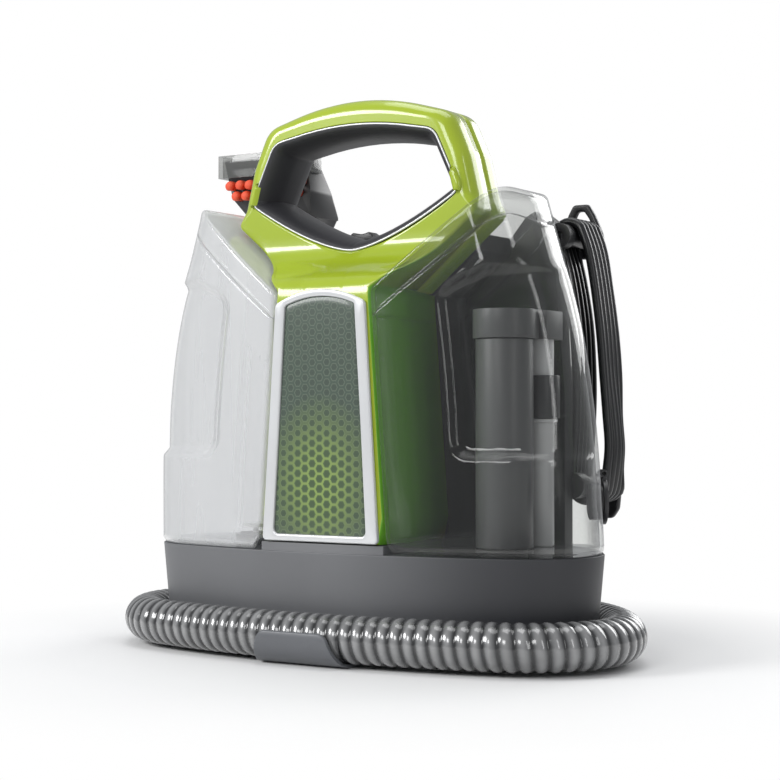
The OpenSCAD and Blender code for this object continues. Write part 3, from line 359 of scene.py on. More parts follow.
def pchip(X, Y):
    X = np.array(X, float); Y = np.array(Y, float); h = np.diff(X); d = np.diff(Y)/h; m = np.zeros(len(X))
    m[0], m[-1] = d[0], d[-1]
    for i in range(1, len(X)-1):
        if d[i-1]*d[i] > 0: w1 = 2*h[i]+h[i-1]; w2 = h[i]+2*h[i-1]; m[i] = (w1+w2)/(w1/d[i-1]+w2/d[i])
    def f(x):
        i = int(min(max(np.searchsorted(X, x)-1, 0), len(h)-1)); t = (x-X[i])/h[i]
        return float((2*t**3-3*t**2+1)*Y[i]+(t**3-2*t**2+t)*h[i]*m[i]+(-2*t**3+3*t**2)*Y[i+1]+(t**3-t**2)*h[i]*m[i+1])
    return f
WL = pchip([60, 108, 132, 156, 180, 204, 216, 228, 240, 252, 263], [142.4, 143.0, 142.6, 140.6, 136.8, 130.6, 126.0, 121.2, 117.2, 113.4, 110.4])
WR = pchip([60, 84, 108, 132, 156, 180, 204, 228, 252, 263], [141.8, 140.4, 138.4, 135.7, 132.0, 127.5, 121.6, 114.9, 107.5, 104.2])
def tank_maps(step=1.9):
    B = tank_loop(step); n = len(B); N = []
    for i in range(n):
        d = Vector(B[(i+1) % n])-Vector(B[i-1]); N.append(Vector((d.y, -d.x)).normalized())
    def xy(u, z):
        t = (z-60.3)/201.7; xin = 42-0.074*(z-58.7); bx, by = B[u]
        b = smooth((by+41.8)/55.6); W = WL(z)*(1-b)+WR(z)*b
        return xin+(bx-42)*(W-xin)/100.0, (by*(1-0.48*t) if by > 0 else by)
    def ztop(u):
        z = 240.0
        for _ in range(12): z = 0.5*z+0.5*roof(xy(u, z)[0])
        return z
    ZT = [ztop(u) for u in range(n)]
    return B, N, xy, ZT

def recess(x, bx, by, z):
    """inward depth of the grip recess: a rounded window wrapped round the front outer corner, dying out at the side"""
    a = bx-80.6; b = z-112; c = min(205+max(0.0, a)*0.36, 216)-z
    if a <= 0 or b <= 0 or c <= 0: return 0.0
    R = 11.0; q = min(b, c)
    d = R-math.hypot(max(0, R-a), max(0, R-q)) if (a < R or q < R) else 99
    if d <= 0: return 0.0
    ang = math.degrees(math.atan2(by+18, bx-96.9)) if bx > 96.9 or by > -18 else -90
    depth = 6.4-3.0*smooth((ang+75)/45)
    fade = 1-smooth((ang+22)/34)
    return depth*smooth(d/5.0)*fade

def ribs(bx, by, z, zt):
    if by > -60 or bx > 63 or bx < 44.5: return 0.0
    f = smooth((z-70)/6)*smooth((zt-24-z)/6)
    return 1.1*f*(0.5-0.5*math.cos(2*math.pi*(bx-44.5)/6.15))

def make_tank(side, body, mat, pre):
    B, N, xy, ZT = tank_maps(); n = len(B); sx = 1 if side > 0 else -1
    zb = [60.3+max(0.0, 47.2-B[u][0])*1.1 for u in range(n)]
    def pt(u, z, d):
        x, y = xy(u, z); return (sx*(x-N[u].x*d), y-N[u].y*d, z)
    rings = []; r1 = 3.0
    # lower shell: floor, bottom edge, wall up to the seam
    for k in (0.0,): pass
    for s in (0.55, 0.25):
        rings.append([(sx*(xy(u, zb[u])[0]*(1-s)+88*s), xy(u, zb[u])[1]*(1-s)-18*s, 60.3+(zb[u]-60.3)*(1-min(1, s*3))) for u in range(n)])
    for k in range(5):
        a = math.pi/2*k/4; rings.append([pt(u, zb[u]+r1*(1-math.sin(a)), r1*(1-math.cos(math.pi/2-a)) if False else r1*(1-math.sin(a)) if False else r1-r1*math.sin(a)) if False else pt(u, zb[u]+r1-r1*math.cos(a), r1-r1*math.sin(a)) for u in range(n)])
    M = 84
    for i in range(1, M+1):
        v = i/M; R_ = []
        for u in range(n):
            z0 = zb[u]+r1; z1 = ZT[u]-15.2; z = z0+(z1-z0)*v
            x, y = xy(u, z); R_.append(pt(u, z, recess(x, B[u][0], B[u][1], z)+ribs(B[u][0], B[u][1], z, z1)))
        rings.append(R_)
    V, F = loft(rings, True, True, False)
    low = mesh_obj(pre+'_shell_wall', V, F, mat, body, sharp=None)
    # upper shell: band above the seam, edge, sloped roof
    rings = []; r2 = 2.6
    for i in range(8):
        v = i/7; rings.append([pt(u, ZT[u]-14.7+(14.7-r2)*v, 0.0) for u in range(n)])
    for k in range(1, 5):
        a = math.pi/2*k/4
        R_ = []
        for u in range(n):
            d = r2*(1-math.cos(a)); x, y = xy(u, ZT[u]-r2+r2*math.sin(a)); x -= N[u].x*d; y -= N[u].y*d
            R_.append((sx*x, y, roof(x)-r2+r2*math.sin(a)))
        rings.append(R_)
    edge = rings[-1]
    for k in range(1, 31):
        s = k/31*0.985
        R_ = []
        for u in range(n):
            x, y, _ = edge[u]; x *= sx; cxx = min(max(x, 52), 90); X = x+(cxx-x)*s; Y = y+(-16-y)*s
            R_.append((sx*X, Y, roof(X)))
        rings.append(R_)
    V, F = loft(rings, True, False, True)
    top = mesh_obj(pre+'_roof', V, F, mat, body, sharp=None)
    return low, top

def cut(ob, kind, loc, r, h, rot=None):
    """applies a round cut to a piece"""
    bm = bmesh.new(); bmesh.ops.create_cone(bm, cap_ends=True, segments=48, radius1=r*MM, radius2=r*MM, depth=h*MM)
    me = bpy.data.meshes.new('cutter'); bm.to_mesh(me); bm.free(); c = bpy.data.objects.new('cutter', me); COL.objects.link(c)
    c.matrix_world = Matrix.Translation(Vector(loc)*MM) @ (rot if rot else Matrix.Identity(4))
    bpy.context.view_layer.update()
    m = ob.modifiers.new('cut', 'BOOLEAN'); m.operation = 'DIFFERENCE'; m.object = c; m.solver = 'EXACT'
    apply_mods(ob); bpy.data.objects.remove(c)

def apply_mods(ob):
    dg = bpy.context.evaluated_depsgraph_get(); ev = ob.evaluated_get(dg)
    me = bpy.data.meshes.new_from_object(ev, preserve_all_data_layers=True, depsgraph=dg)
    old = ob.data; mats = [m for m in old.materials]; ob.modifiers.clear(); ob.data = me
    if not me.materials:
        for m in mats: me.materials.append(m)

cl, ct = make_tank(-1, 'clean_tank', CLEAN, 'clean_tank')
dl, dt = make_tank(1, 'dirty_tank', SMOKE, 'dirty_tank')
for o in (cl, ct, dl, dt):
    add_mod(o, 'SOLIDIFY', thickness=0.0022, offset=-1.0, use_even_offset=False)
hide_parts('clean_tank_shell'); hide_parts('clean_tank_top')
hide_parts('dirty_tank_shell'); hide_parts('dirty_tank_top')

# ------------------------------------------------------------------ casing and handle
def ray(poly, c, ang):
    dx, dz = math.cos(ang), math.sin(ang); best = None
    for i in range(len(poly)):
        x0, z0 = poly[i-1][0]-c[0], poly[i-1][1]-c[1]; x1, z1 = poly[i][0]-c[0], poly[i][1]-c[1]
        ex, ez = x1-x0, z1-z0; den = dx*ez-dz*ex
        if abs(den) < 1e-12: continue
        t = (x0*ez-z0*ex)/den; s = (x0*dz-z0*dx)/den
        if t > 0 and -1e-9 <= s <= 1+1e-9 and (best is None or t < best): best = t
    return best
HC = (0.0, 265.0)
side = [(30.4, 205.4, 4), (80.5, 247.5, 5), (72.5, 281, 30), (62, 304.5, 15)]
arch = [(x, 316-13*(x/62.5)**2) for x in [44-88*i/16 for i in range(17)]]
out_poly = fillet_poly([(-40.6, 65.4, 1), (40.6, 65.4, 1)] + side + [(x, z, 0) for x, z in arch] + [(-x, z, r) for x, z, r in side[::-1]], 8)
back_poly = fillet_poly([(-30.6, 205.6, 1), (30.6, 205.6, 1)] + side[1:] + [(x, z, 0) for x, z in arch] + [(-x, z, r) for x, z, r in side[:0:-1]], 8)
bottom = [(x, 229+30.4*(abs(x)/70.7)**1.5) for x in [-62+124*i/24 for i in range(25)]]
topc = [(x, 302-7.6*(x/54.3)**2) for x in [40-80*i/10 for i in range(11)]]
open_poly = fillet_poly([(x, z, 0) for x, z in bottom] + [(71.2, 259.6, 7), (54.6, 295.2, 11)] + [(x, z, 0) for x, z in topc] + [(-54.6, 295.2, 11), (-71.2, 259.6, 7)], 8)
NA = 240
# directions denser where the contour turns
ANG = sorted(set([2*math.pi*i/NA for i in range(NA)] + [math.radians(a) for a in np.arange(-100, -79, 0.5)] + [math.radians(360+a) if a < 0 else math.radians(a) for a in np.arange(-22, 4, 0.75)] + [math.radians(180-a) for a in np.arange(-22, 4, 0.75)]))
ANG = [a % (2*math.pi) for a in ANG]; ANG = sorted(set(round(a, 5) for a in ANG))
def contour(poly, d=0.0):
    out = []
    for a in ANG:
        t = ray(poly, HC, a)-1e-6; out.append([HC[0]+t*math.cos(a), HC[1]+t*math.sin(a)])
    if d:
        n = len(out); res = []
        for i in range(n):
            e = Vector(out[(i+1) % n])-Vector(out[i-1]); nn = Vector((e.y, -e.x)).normalized(); res.append([out[i][0]+nn.x*d, out[i][1]+nn.y*d])
        return res
    return out
KZ = [60, 198, 204, 208, 212, 215.5, 218.5, 221.5, 225, 229, 234, 240, 330]
KY = [-71.5, -71.5, -71.3, -70.2, -67.0, -61.5, -55.0, -50.0, -45.8, -42.8, -41.2, -41.0, -41.0]
yface = pchip(KZ, KY)
def casing_front():
    O = contour(out_poly); I = contour(open_poly, 0.0); n = len(ANG); rings = []
    fr = [2.0+7.0*smooth((o[1]-246)/12) for o in O]      # edge radius: soft on the handle, tight at the tanks
    W = [0.0, 0.012, 0.03] + [0.03+0.97*(1-(1-i/46)**1.15) for i in range(1, 47)]
    # inner wall of the opening
    rings.append([(I[u][0], -22.0, I[u][1]) for u in range(n)])
    rings.append([(I[u][0], yface(I[u][1])+1.2, I[u][1]) for u in range(n)])
    for w in W[1:-1]:
        R_ = []
        for u in range(n):
            L_ = math.hypot(O[u][0]-I[u][0], O[u][1]-I[u][1]); s = w*(L_-fr[u])/L_
            x = I[u][0]+(O[u][0]-I[u][0])*s; z = I[u][1]+(O[u][1]-I[u][1])*s
            e = 1.2*max(0, 1-(w*L_)/1.5)**2
            R_.append((x, yface(z)+e, z))
        rings.append(R_)
    for k in range(0, 9):
        a = math.pi/2*k/8; R_ = []
        for u in range(n):
            L_ = math.hypot(O[u][0]-I[u][0], O[u][1]-I[u][1]); s = 1-(fr[u]*(1-math.sin(a)))/L_
            x = I[u][0]+(O[u][0]-I[u][0])*s; z = I[u][1]+(O[u][1]-I[u][1])*s
            R_.append((x, yface(z)+fr[u]*(1-math.cos(a)), z))
        rings.append(R_)
    for f in (0.4, 1.0):
        rings.append([(O[u][0], (yface(O[u][1])+fr[u])*(1-f)+(-22.05 if O[u][1] > 206 else -0.2)*f, O[u][1]) for u in range(n)])
    V, F = loft(rings, True)
    ob = mesh_obj('front_casing', V, F, GREEN, 'machine', sharp=50)
    add_mod(ob, 'SOLIDIFY', thickness=0.0022, offset=-1.0)
    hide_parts('front_housing'); return ob
casing_front()
def casing_back():
    O = contour(back_poly); I = contour(open_poly); n = len(ANG); rings = []; r = 7.0
    fr = [1.0+6.0*smooth((o[1]-246)/12) for o in O]
    rings.append([(O[u][0], -21.8, O[u][1]) for u in range(n)])
    rings.append([(O[u][0], -21.8+(18.6-fr[u])*0.5, O[u][1]) for u in range(n)])
    for k in range(0, 8):
        a = math.pi/2*k/7; R_ = []
        for u in range(n):
            L_ = math.hypot(O[u][0]-I[u][0], O[u][1]-I[u][1]); s = 1-(fr[u]*(1-math.cos(a)))/L_
            R_.append((I[u][0]+(O[u][0]-I[u][0])*s, -3.2-fr[u]*(1-math.sin(a)), I[u][1]+(O[u][1]-I[u][1])*s))
        rings.append(R_)
    for w in (0.6, 0.3, 0.12, 0.03, 0.0):
        R_ = []
        for u in range(n):
            L_ = math.hypot(O[u][0]-I[u][0], O[u][1]-I[u][1]); s = w*(L_-fr[u])/L_
            R_.append((I[u][0]+(O[u][0]-I[u][0])*s, -3.2-(1.0 if w == 0 else 0), I[u][1]+(O[u][1]-I[u][1])*s))
        rings.append(R_)
    rings.append([(I[u][0], -21.8, I[u][1]) for u in range(n)])
    V, F = loft(rings, True)
    ob = mesh_obj('handle_rear_shell', V, F, GREEN, 'machine', sharp=50)
    add_mod(ob, 'SOLIDIFY', thickness=0.0022, offset=-1.0)
    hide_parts('handle_back_shell'); return ob
casing_back()
def band(name, prof, mat, outer, inner, rep, body='machine', sharp=40):
    """closed moulding between two contours; prof is a loop of (w, y): w = 0 on the outer, 1 on the inner contour"""
    n = len(ANG); rings = []
    for w, y in prof + [prof[0]]:
        rings.append([(outer[u][0]+(inner[u][0]-outer[u][0])*w, y, outer[u][1]+(inner[u][1]-outer[u][1])*w) for u in range(n)])
    V, F = loft(rings, True)
    ob = mesh_obj(name, V, F, mat, body, sharp=sharp)
    if rep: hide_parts(rep)
    return ob
LO = contour(open_poly, -0.35); LI = contour(open_poly, -8.2)
band('grip_liner', [(0, -24), (0, -40.6), (0.03, -41.3), (0.10, -41.7), (0.20, -41.5), (0.34, -40.2), (0.5, -38.2), (0.68, -35.2), (0.84, -31.2), (0.95, -27), (1.0, -23.5),
     (1.0, -14), (0.95, -10), (0.8, -6.2), (0.55, -3.2), (0.3, -1.6), (0.1, -0.9), (0, -1.6), (0, -3.6)], CHAR, LO, LI, 'handle_grip_liner')
tube('grip_bright_line', [(p[0], -41.2, p[1]) for p in resample([tuple(q) for q in contour(open_poly, -0.75)], 1.6)], 0.62, SILVER, 'machine', n=8, closed=True)

# ------------------------------------------------------------------ hose, clip, cord, hook
def vec(a): return Vector(a)
def hose_path():
    R, z0 = 40.0, 15.2; P = []
    def arc(c, r, a0, a1):
        n = max(3, int(abs(a1-a0)*math.pi/180*r/0.6))
        for i in range(n+1):
            a = math.radians(a0+(a1-a0)*i/n); P.append((c[0]+r*math.cos(a), c[1]+r*math.sin(a), z0))
    def rise(c, r, a, t0, t1):
        q = (c[0]+r*math.cos(math.radians(a)), c[1]+r*math.sin(math.radians(a))); h = math.radians(a+90); n = 110
        for i in range(n+1):
            t = math.radians(t0+(t1-t0)*i/n)
            P.append((q[0]+R*math.sin(t)*math.cos(h), q[1]+R*math.sin(t)*math.sin(h), z0+R*(1-math.cos(t))))
    cA3, cA2 = (-HALF+113.1, -49.8), (-HALF+45.1, -18)
    rise(cA3, 130, 140.6, -90, 0)
    top = P[0]; P.insert(0, (top[0], top[1], top[2]+12))
    arc(cA3, 130, 140.6, 154.9); arc(cA2, 55, 154.9, 255.8); arc((0, 365), 450, 255.8, 284.2)
    arc((-cA2[0], cA2[1]), 55, -75.8, 25.1); arc((-cA3[0], cA3[1]), 130, 25.1, 60); arc((0, -99.9), 187.8, 60, 78)
    rise((0, -99.9), 187.8, 78, 0, 90); e = P[-1]; P.append((e[0], e[1], e[2]+14))
    return P
def hose():
    pts = resample(hose_path(), 0.85, False); N = len(pts); n = 32; P = [Vector(p) for p in pts]
    T = [(P[min(i+1, N-1)]-P[max(i-1, 0)]).normalized() for i in range(N)]
    # frames along the path, carried by projection from one point to the next
    u = Vector((0, 1, 0)); u = (u-T[0]*u.dot(T[0])).normalized(); U = []; W = []; U0 = []
    for i in range(N):
        u = (u-T[i]*u.dot(T[i])).normalized(); U0.append(u.copy())
    step = (P[1]-P[0]).length; pitch = 7.3; V = []; rib_shade_mask = []; F = []
    for i in range(N):
        s = 0 if i == 0 else s+(P[i]-P[i-1]).length
        v = T[i].cross(U0[i]); end = smooth(min(s, 1e9)/7)*smooth((N-1-i)*0.85/7)
        for k in range(n):
            a = 2*math.pi*k/n; ph = (s/pitch-a/(2*math.pi)) % 1.0
            # broad rounded rib with a narrow valley between turns
            c = 0.5-0.5*math.cos(2*math.pi*ph); p = c**0.45
            r = 11.95+1.18*p*end
            V.append(tuple(P[i]+U0[i]*(r*math.cos(a))+v*(r*math.sin(a)))); rib_shade_mask.append(p*end)
    for i in range(N-1):
        for k in range(n):
            j = (k+1) % n; F.append((i*n+k, i*n+j, (i+1)*n+j, (i+1)*n+k))
    # bore
    idx = list(range(0, N, 5)); 
    if idx[-1] != N-1: idx.append(N-1)
    base = len(V)
    for i in idx:
        v = T[i].cross(U0[i])
        for k in range(n):
            # the bore gets a low mask value, so painted shade darkens it as well
            a = 2*math.pi*k/n; V.append(tuple(P[i]+U0[i]*(10.9*math.cos(a))+v*(10.9*math.sin(a)))); rib_shade_mask.append(0.2)
    for m in range(len(idx)-1):
        for k in range(n):
            j = (k+1) % n; F.append((base+m*n+k, base+(m+1)*n+k, base+(m+1)*n+j, base+m*n+j))
    for k in range(n):
        j = (k+1) % n; F.append((k, base+k, base+j, j)); e = (N-1)*n; b = base+(len(idx)-1)*n; F.append((e+k, e+j, b+j, b+k))
    ob = mesh_obj('corrugated_hose', V, F, HOSE, 'machine', sharp=None, attrs={'rib_shade_mask': rib_shade_mask})
    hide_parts('suction_hose')
hose()

def clip():
    def top(x):
        x = abs(x)
        poly = fillet_poly([(0, -1, 0), (29, -1, 0), (21.6, 18.4, 6.5), (0, 18.4, 0)], 10)
        best = 0
        for i in range(len(poly)-1):
            (x0, z0), (x1, z1) = poly[i], poly[i+1]
            if min(x0, x1)-1e-6 <= x <= max(x0, x1)+1e-6 and abs(x1-x0) > 1e-6:
                best = max(best, z0+(z1-z0)*(x-x0)/(x1-x0))
        return best
    yc, zc = -85.0, 15.2; rings = []
    xs = [-28.4+56.8*i/72 for i in range(73)]
    for x in xs:
        zt = max(2.3, top(x)); po, pi_ = [], []
        for k in range(15):
            a = k/14
            ang = math.pi/2*(1-a)            # from straight down to straight out
            po.append((yc-16.8*math.cos(ang), zc-15.1*math.sin(ang))); pi_.append((yc-14.2*math.cos(ang), zc-13.3*math.sin(ang)))
        po.append((yc-16.9, zc+3.2)); pi_.append((yc-14.3, zc+3.2))
        def lim(path, z):
            out = [path[0]]
            for i in range(1, len(path)):
                (y0, z0), (y1, z1) = path[i-1], path[i]
                if z1 <= z: out.append((y1, z1))
                else:
                    t = (z-z0)/(z1-z0) if z1 > z0 else 0
                    q = (y0+(y1-y0)*max(t, 0), min(max(z, z0), z1)); 
                    while len(out) < len(path): out.append(q)
                    break
            return resample(out, 1, False) if False else out
        o = lim(po, zt); i_ = lim(pi_, zt); o = [(y, max(0.1, z)) for y, z in o]
        cy, cz = (o[-1][0]+i_[-1][0])/2, (o[-1][1]+i_[-1][1])/2
        capd = min(1.0, (zt-2)/3+0.02)
        mid = [(o[-1][0]*0.85+i_[-1][0]*0.15, cz+0.6*capd), (cy, cz+0.95*capd), (o[-1][0]*0.15+i_[-1][0]*0.85, cz+0.6*capd)]
        tail = [(-66.0, 0.1)]
        ring = [(x, -66.0, 0.1)] + [(x, y, z) for y, z in o] + [(x, y, z) for y, z in mid] + [(x, y, z) for y, z in i_[::-1]] + [(x, -66.0, 1.9)]
        rings.append(ring)
    V, F = loft(rings, True, True, True)
    ob = mesh_obj('hose_retainer', V, F, CLIPM, 'machine', sharp=45)
    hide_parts('hose_clip')
CLIPM = plastic('clip_slate', (0.105, 0.11, 0.12), 0.40, grain=1500, bump=0.08, var=0.05, edge=0.3)
clip()

def cord():
    obs = []; ux, uz, lx, lz, r = 86.1, 241.5, 95.9, 95.0, 9.2
    for i in range(5):
        y = 63+5.4*i; xb = [110.9, 111.5, 111.7, 110.9, 109.4][i]; K = []
        # right-hand run from the top arch down to the bottom turn
        for k in range(0, 7): a = math.radians(90-52*k/6); K.append((ux+r*math.cos(a), uz+r*math.sin(a)))
        K += [(98.4, 233), (102.2, 212), (105.6, 186), (107.6, 160), (xb-1.4, 136), (xb, 118), (xb-1.0, 104)]
        for k in range(0, 9): a = math.radians(-14-144*k/8); K.append((lx+0.6+(r+(3.2 if k < 3 else 0))*math.cos(a), lz+r*math.sin(a)))
        K += [(88.6, 112), (90.0, 132), (90.4, 158), (88.6, 192), (83.4, 222)]
        for k in range(0, 6): a = math.radians(172-82*k/6); K.append((ux+r*math.cos(a), uz+r*math.sin(a)))
        n = len(K); out = []
        for j in range(n):
            p0, p1, p2, p3 = (Vector(K[(j+m-1) % n]) for m in range(4))
            for t in (0, 0.25, 0.5, 0.75):
                out.append(0.5*((2*p1)+(p2-p0)*t+(2*p0-5*p1+4*p2-p3)*t*t+(3*p1-p0-3*p2+p3)*t**3))
        def yy(q):
            f = smooth((q.y-96)/30)*smooth((240-q.y)/30); g = 0 if q.x < 97 else 1
            return y+f*(0.35*math.sin((q.y-96)/145*math.pi*2+i*1.3)+g*(2-i)*0.45)
        path = resample([(q.x, yy(q), q.y) for q in out], 2.2)
        obs.append(tube('cord_turn_%d' % (i+1), path, 2.62, CORD, 'machine', n=16, closed=True))
    lead = [(79, 47, 104), (81.4, 52.5, 104), (83.6, 57.6, 104.4), (85.2, 60.6, 107), (85.9, 62.2, 112), (85.8, 63, 118)]
    obs.append(tube('cord_lead', resample(lead, 1.5, False), 2.6, CORD, 'machine', n=16))
    K = [(71, 79.2, 164.5), (71, 79.2, 171), (72.2, 79.3, 180), (75.4, 79.6, 190), (79.6, 80.2, 200), (82.6, 81.2, 210), (83.6, 82.2, 220)]
    out = []
    for j in range(len(K)-1):
        p0, p1, p2, p3 = (Vector(K[min(max(j+m-1, 0), len(K)-1)]) for m in range(4))
        for t in (0, 0.25, 0.5, 0.75): out.append(tuple(0.5*((2*p1)+(p2-p0)*t+(2*p0-5*p1+4*p2-p3)*t*t+(3*p1-p0-3*p2+p3)*t**3)))
    out.append(K[-1])
    obs.append(tube('cord_plug_lead', resample(out, 1.5, False), 2.5, CORD, 'machine', n=16))
    for o in obs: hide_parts('power_cord')
cord()

def ring_between(name, outer, inner, y0, y1, mat, body, r=1.4):
    """closed frame of even-count contours with rounded edges on both faces"""
    n = len(outer); L = []
    for k in range(5):
        a = math.pi/2*k/4; L.append(('o', r*(1-math.sin(a)), y0+r*(1-math.cos(a))))
    for k in range(5):
        a = math.pi/2*k/4; L.append(('o', r*(1-math.cos(a)), y1-r*(1-math.sin(a))))
    for k in range(5):
        a = math.pi/2*k/4; L.append(('i', r*(1-math.sin(a)), y1-r*(1-math.cos(a))))
    for k in range(5):
        a = math.pi/2*k/4; L.append(('i', r*(1-math.cos(a)), y0+r*(1-math.sin(a))))
    rings = []
    for w, d, y in L:
        R_ = []
        for u in range(n):
            o, i_ = Vector(outer[u]), Vector(inner[u]); dd = (i_-o); ln = dd.length; dd = dd/ln
            p = o+dd*min(d, ln*0.48) if w == 'o' else i_-dd*min(d, ln*0.48); R_.append((p.x, y, p.y))
        rings.append(R_)
    rings.append(rings[0])
    V, F = loft(rings, True)
    return mesh_obj(name, V, F, mat, body, sharp=50)

def guard():
    out = fillet_poly([(71.4, 238, 6), (70.4, 248, 10), (71, 257.4, 4), (74.8, 264.2, 3.2), (84.8, 264.2, 3.2), (88.8, 257.8, 6), (94.2, 246, 8), (94.6, 237, 5), (91, 230.8, 5), (78, 230.8, 6)], 8)
    inn = fillet_poly([(75.8, 250.4, 2.4), (75.8, 255.4, 3), (78, 259.8, 2.2), (82, 259.8, 2.2), (84.8, 255.8, 3), (87.8, 250, 1.6), (86, 248.8, 1.6), (77.6, 248.8, 2)], 8)
    c = (81.2, 253.8); A = [2*math.pi*k/160 for k in range(160)]
    def cont(poly):
        res = []
        for a in A:
            t = ray(poly, c, a); res.append((c[0]+t*math.cos(a), c[1]+t*math.sin(a)))
        return res
    ob = ring_between('hook_guard', cont(out), cont(inn), 90.4, 94.8, BLACK, 'cord_hook', 1.6)
    def post(name, x, z, body):
        rings = [[(x+q*math.cos(2*math.pi*k/40), y, z+q*math.sin(2*math.pi*k/40)) for k in range(40)] for y, q in ((58.4, 4.6), (58.9, 5.2), (60, 5.3), (89, 5.3), (90.9, 5.3), (91.4, 4.8))]
        V, F = loft(rings, True, True, True); return mesh_obj(name, V, F, BLACK, body, sharp=40)
    p1 = post('hook_post', 85.2, 241.5, 'cord_hook')
    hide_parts('upper_cord_hook'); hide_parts('upper_cord_hook')
    poly = fillet_poly([(86, 98, 5), (87.5, 80, 6), (91.5, 74.3, 4), (100.5, 74.3, 4), (104.5, 80, 6), (105.8, 92, 6), (101.5, 102.4, 5), (92, 102.4, 5)], 8)
    lo = slab('lower_hook_plate', poly, 90.4, 94.4, BLACK, 'machine', bevel=1.4, seg=4)
    p2 = post('lower_hook_post', 95, 95, 'machine')
    rings = [[(95+2.5*math.cos(2*math.pi*k/24), y, 95+2.5*math.sin(2*math.pi*k/24)) for k in range(24)] for y in (52.4, 58.6)]
    V, F = loft(rings, True, True, True); p3 = mesh_obj('lower_hook_spigot', V, F, BLACK, 'machine', sharp=40)
    for o in (lo, p2, p3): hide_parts('lower_cord_hook')
guard()

# ------------------------------------------------------------------ badge
def badge():
    def pol(d):
        if d == 0:
            top = [29.6-59.2*i/16 for i in range(17)]
            return fillet_poly([(-38.2, 65.8, 2.2), (38.2, 65.8, 2.2)] + [(x, 205.7-6.3*(x/27.2)**2, 4.0 if i in (0, 16) else 0) for i, x in enumerate(top)], 7)
        P = [(-34.9+d*1.02, 65.8+d, 3.2 if d else 2.2), (34.9-d*1.02, 65.8+d, 3.2 if d else 2.2)]
        top = [(27.2-d-(54.4-2*d)*i/16) for i in range(17)]
        P += [(x, 205.7-d-6.3*(x/27.2)**2, 3.4 if i in (0, 16) else 0) for i, x in enumerate(top)]
        return fillet_poly(P, 7)
    c = (0, 135); A = sorted(set([2*math.pi*k/220 for k in range(220)] + [math.atan2(z-135, x) % (2*math.pi) for x, z in pol(0)] + [math.atan2(z-135, x) % (2*math.pi) for x, z in pol(4.0)]))
    AA = [A[0]]
    for a in A[1:]:
        if a-AA[-1] > 1e-4: AA.append(a)
    def cont(poly): return [(c[0]+ray(poly, c, a)*math.cos(a), c[1]+ray(poly, c, a)*math.sin(a)) for a in AA]
    o, i_ = cont(pol(0)), cont(pol(4.0))
    fr = ring_between('badge_surround', o, i_, -74.6, -71.55, SILVER, 'machine', 1.1)
    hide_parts('badge_frame')
    q = cont(pol(4.1)); rings = []
    for s, y in ((1.0, -71.6), (1.0, -73.0), (0.985, -73.35), (0.94, -73.5), (0.7, -73.6), (0.35, -73.6)):
        rings.append([(c[0]+(p[0]-c[0])*s, y, c[1]+(p[1]-c[1])*s) for p in q])
    V, F = loft(rings, True, True, True)
    pn = mesh_obj('badge_face_plate', V, F, BADGE, 'machine', sharp=40)
    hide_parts('badge_panel')
badge()

# ------------------------------------------------------------------ moulded parts: edges eased from the frame's own shapes
BODY_OF = {n: b for b, ns in frame["record"]["behaviour"]["bodies"].items() for n in ns}
def refine(n, w=0.5, seg=2, ang=30, sharp=38, mat=None, diss=1.2, name=None):
    src = frame["nodes"][n]; bm = bmesh.new(); bm.from_mesh(src.data); bm.transform(src.matrix_world)
    bmesh.ops.remove_doubles(bm, verts=bm.verts, dist=2e-6)
    bmesh.ops.dissolve_degenerate(bm, dist=2e-6, edges=bm.edges)
    bmesh.ops.dissolve_limit(bm, angle_limit=math.radians(diss), use_dissolve_boundaries=False, verts=bm.verts, edges=bm.edges)
    bmesh.ops.recalc_face_normals(bm, faces=bm.faces)
    if w > 0:
        es = [e for e in bm.edges if len(e.link_faces) == 2 and e.calc_face_angle(0) > math.radians(ang)]
        if es:
            bmesh.ops.bevel(bm, geom=es, offset=w*MM, offset_type='OFFSET', segments=seg, profile=0.6, affect='EDGES', clamp_overlap=True, miter_outer='ARC' if False else 'SHARP')
    bmesh.ops.triangulate(bm, faces=[f for f in bm.faces if len(f.verts) > 4])
    bmesh.ops.remove_doubles(bm, verts=bm.verts, dist=1e-7)
    me = bpy.data.meshes.new((name or n)+'_eased'); bm.to_mesh(me); bm.free()
    for p in me.polygons: p.use_smooth = True
    me.set_sharp_from_angle(angle=math.radians(sharp))
    ob = bpy.data.objects.new((name or n)+'_eased', me); COL.objects.link(ob); me.materials.append(mat or CAD_MATS.get(n, GREY))
    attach(ob, BODY_OF[n]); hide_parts(n); return ob
BODY_DEFAULT = 'machine'
for n, w in (('base_tub', 0.9), ('rear_housing', 0.9), ('exhaust_grille', 0.4), ('power_switch_body', 0.5), ('power_rocker', 0.7), ('hose_port_elbow', 0.6), ('wand_hose_cuff', 0.8),
             ('wand_body', 0.8), ('wand_cradle', 0.8), ('tool_body', 1.0), ('tool_window', 0.9), ('tool_release_button', 0.3), ('spray_trigger', 0.8), ('drain_cap', 0.6), ('clean_fill_cap', 0.6),
             ('inlet_riser', 0.5), ('air_tube', 0.4), ('separator_hood', 0.7), ('float_ring', 0.6), ('power_plug', 1.2), ('cord_strain_relief', 0.6), ('rubber_feet', 0.6), ('tank_receivers', 0.4)):
    refine(n, w)

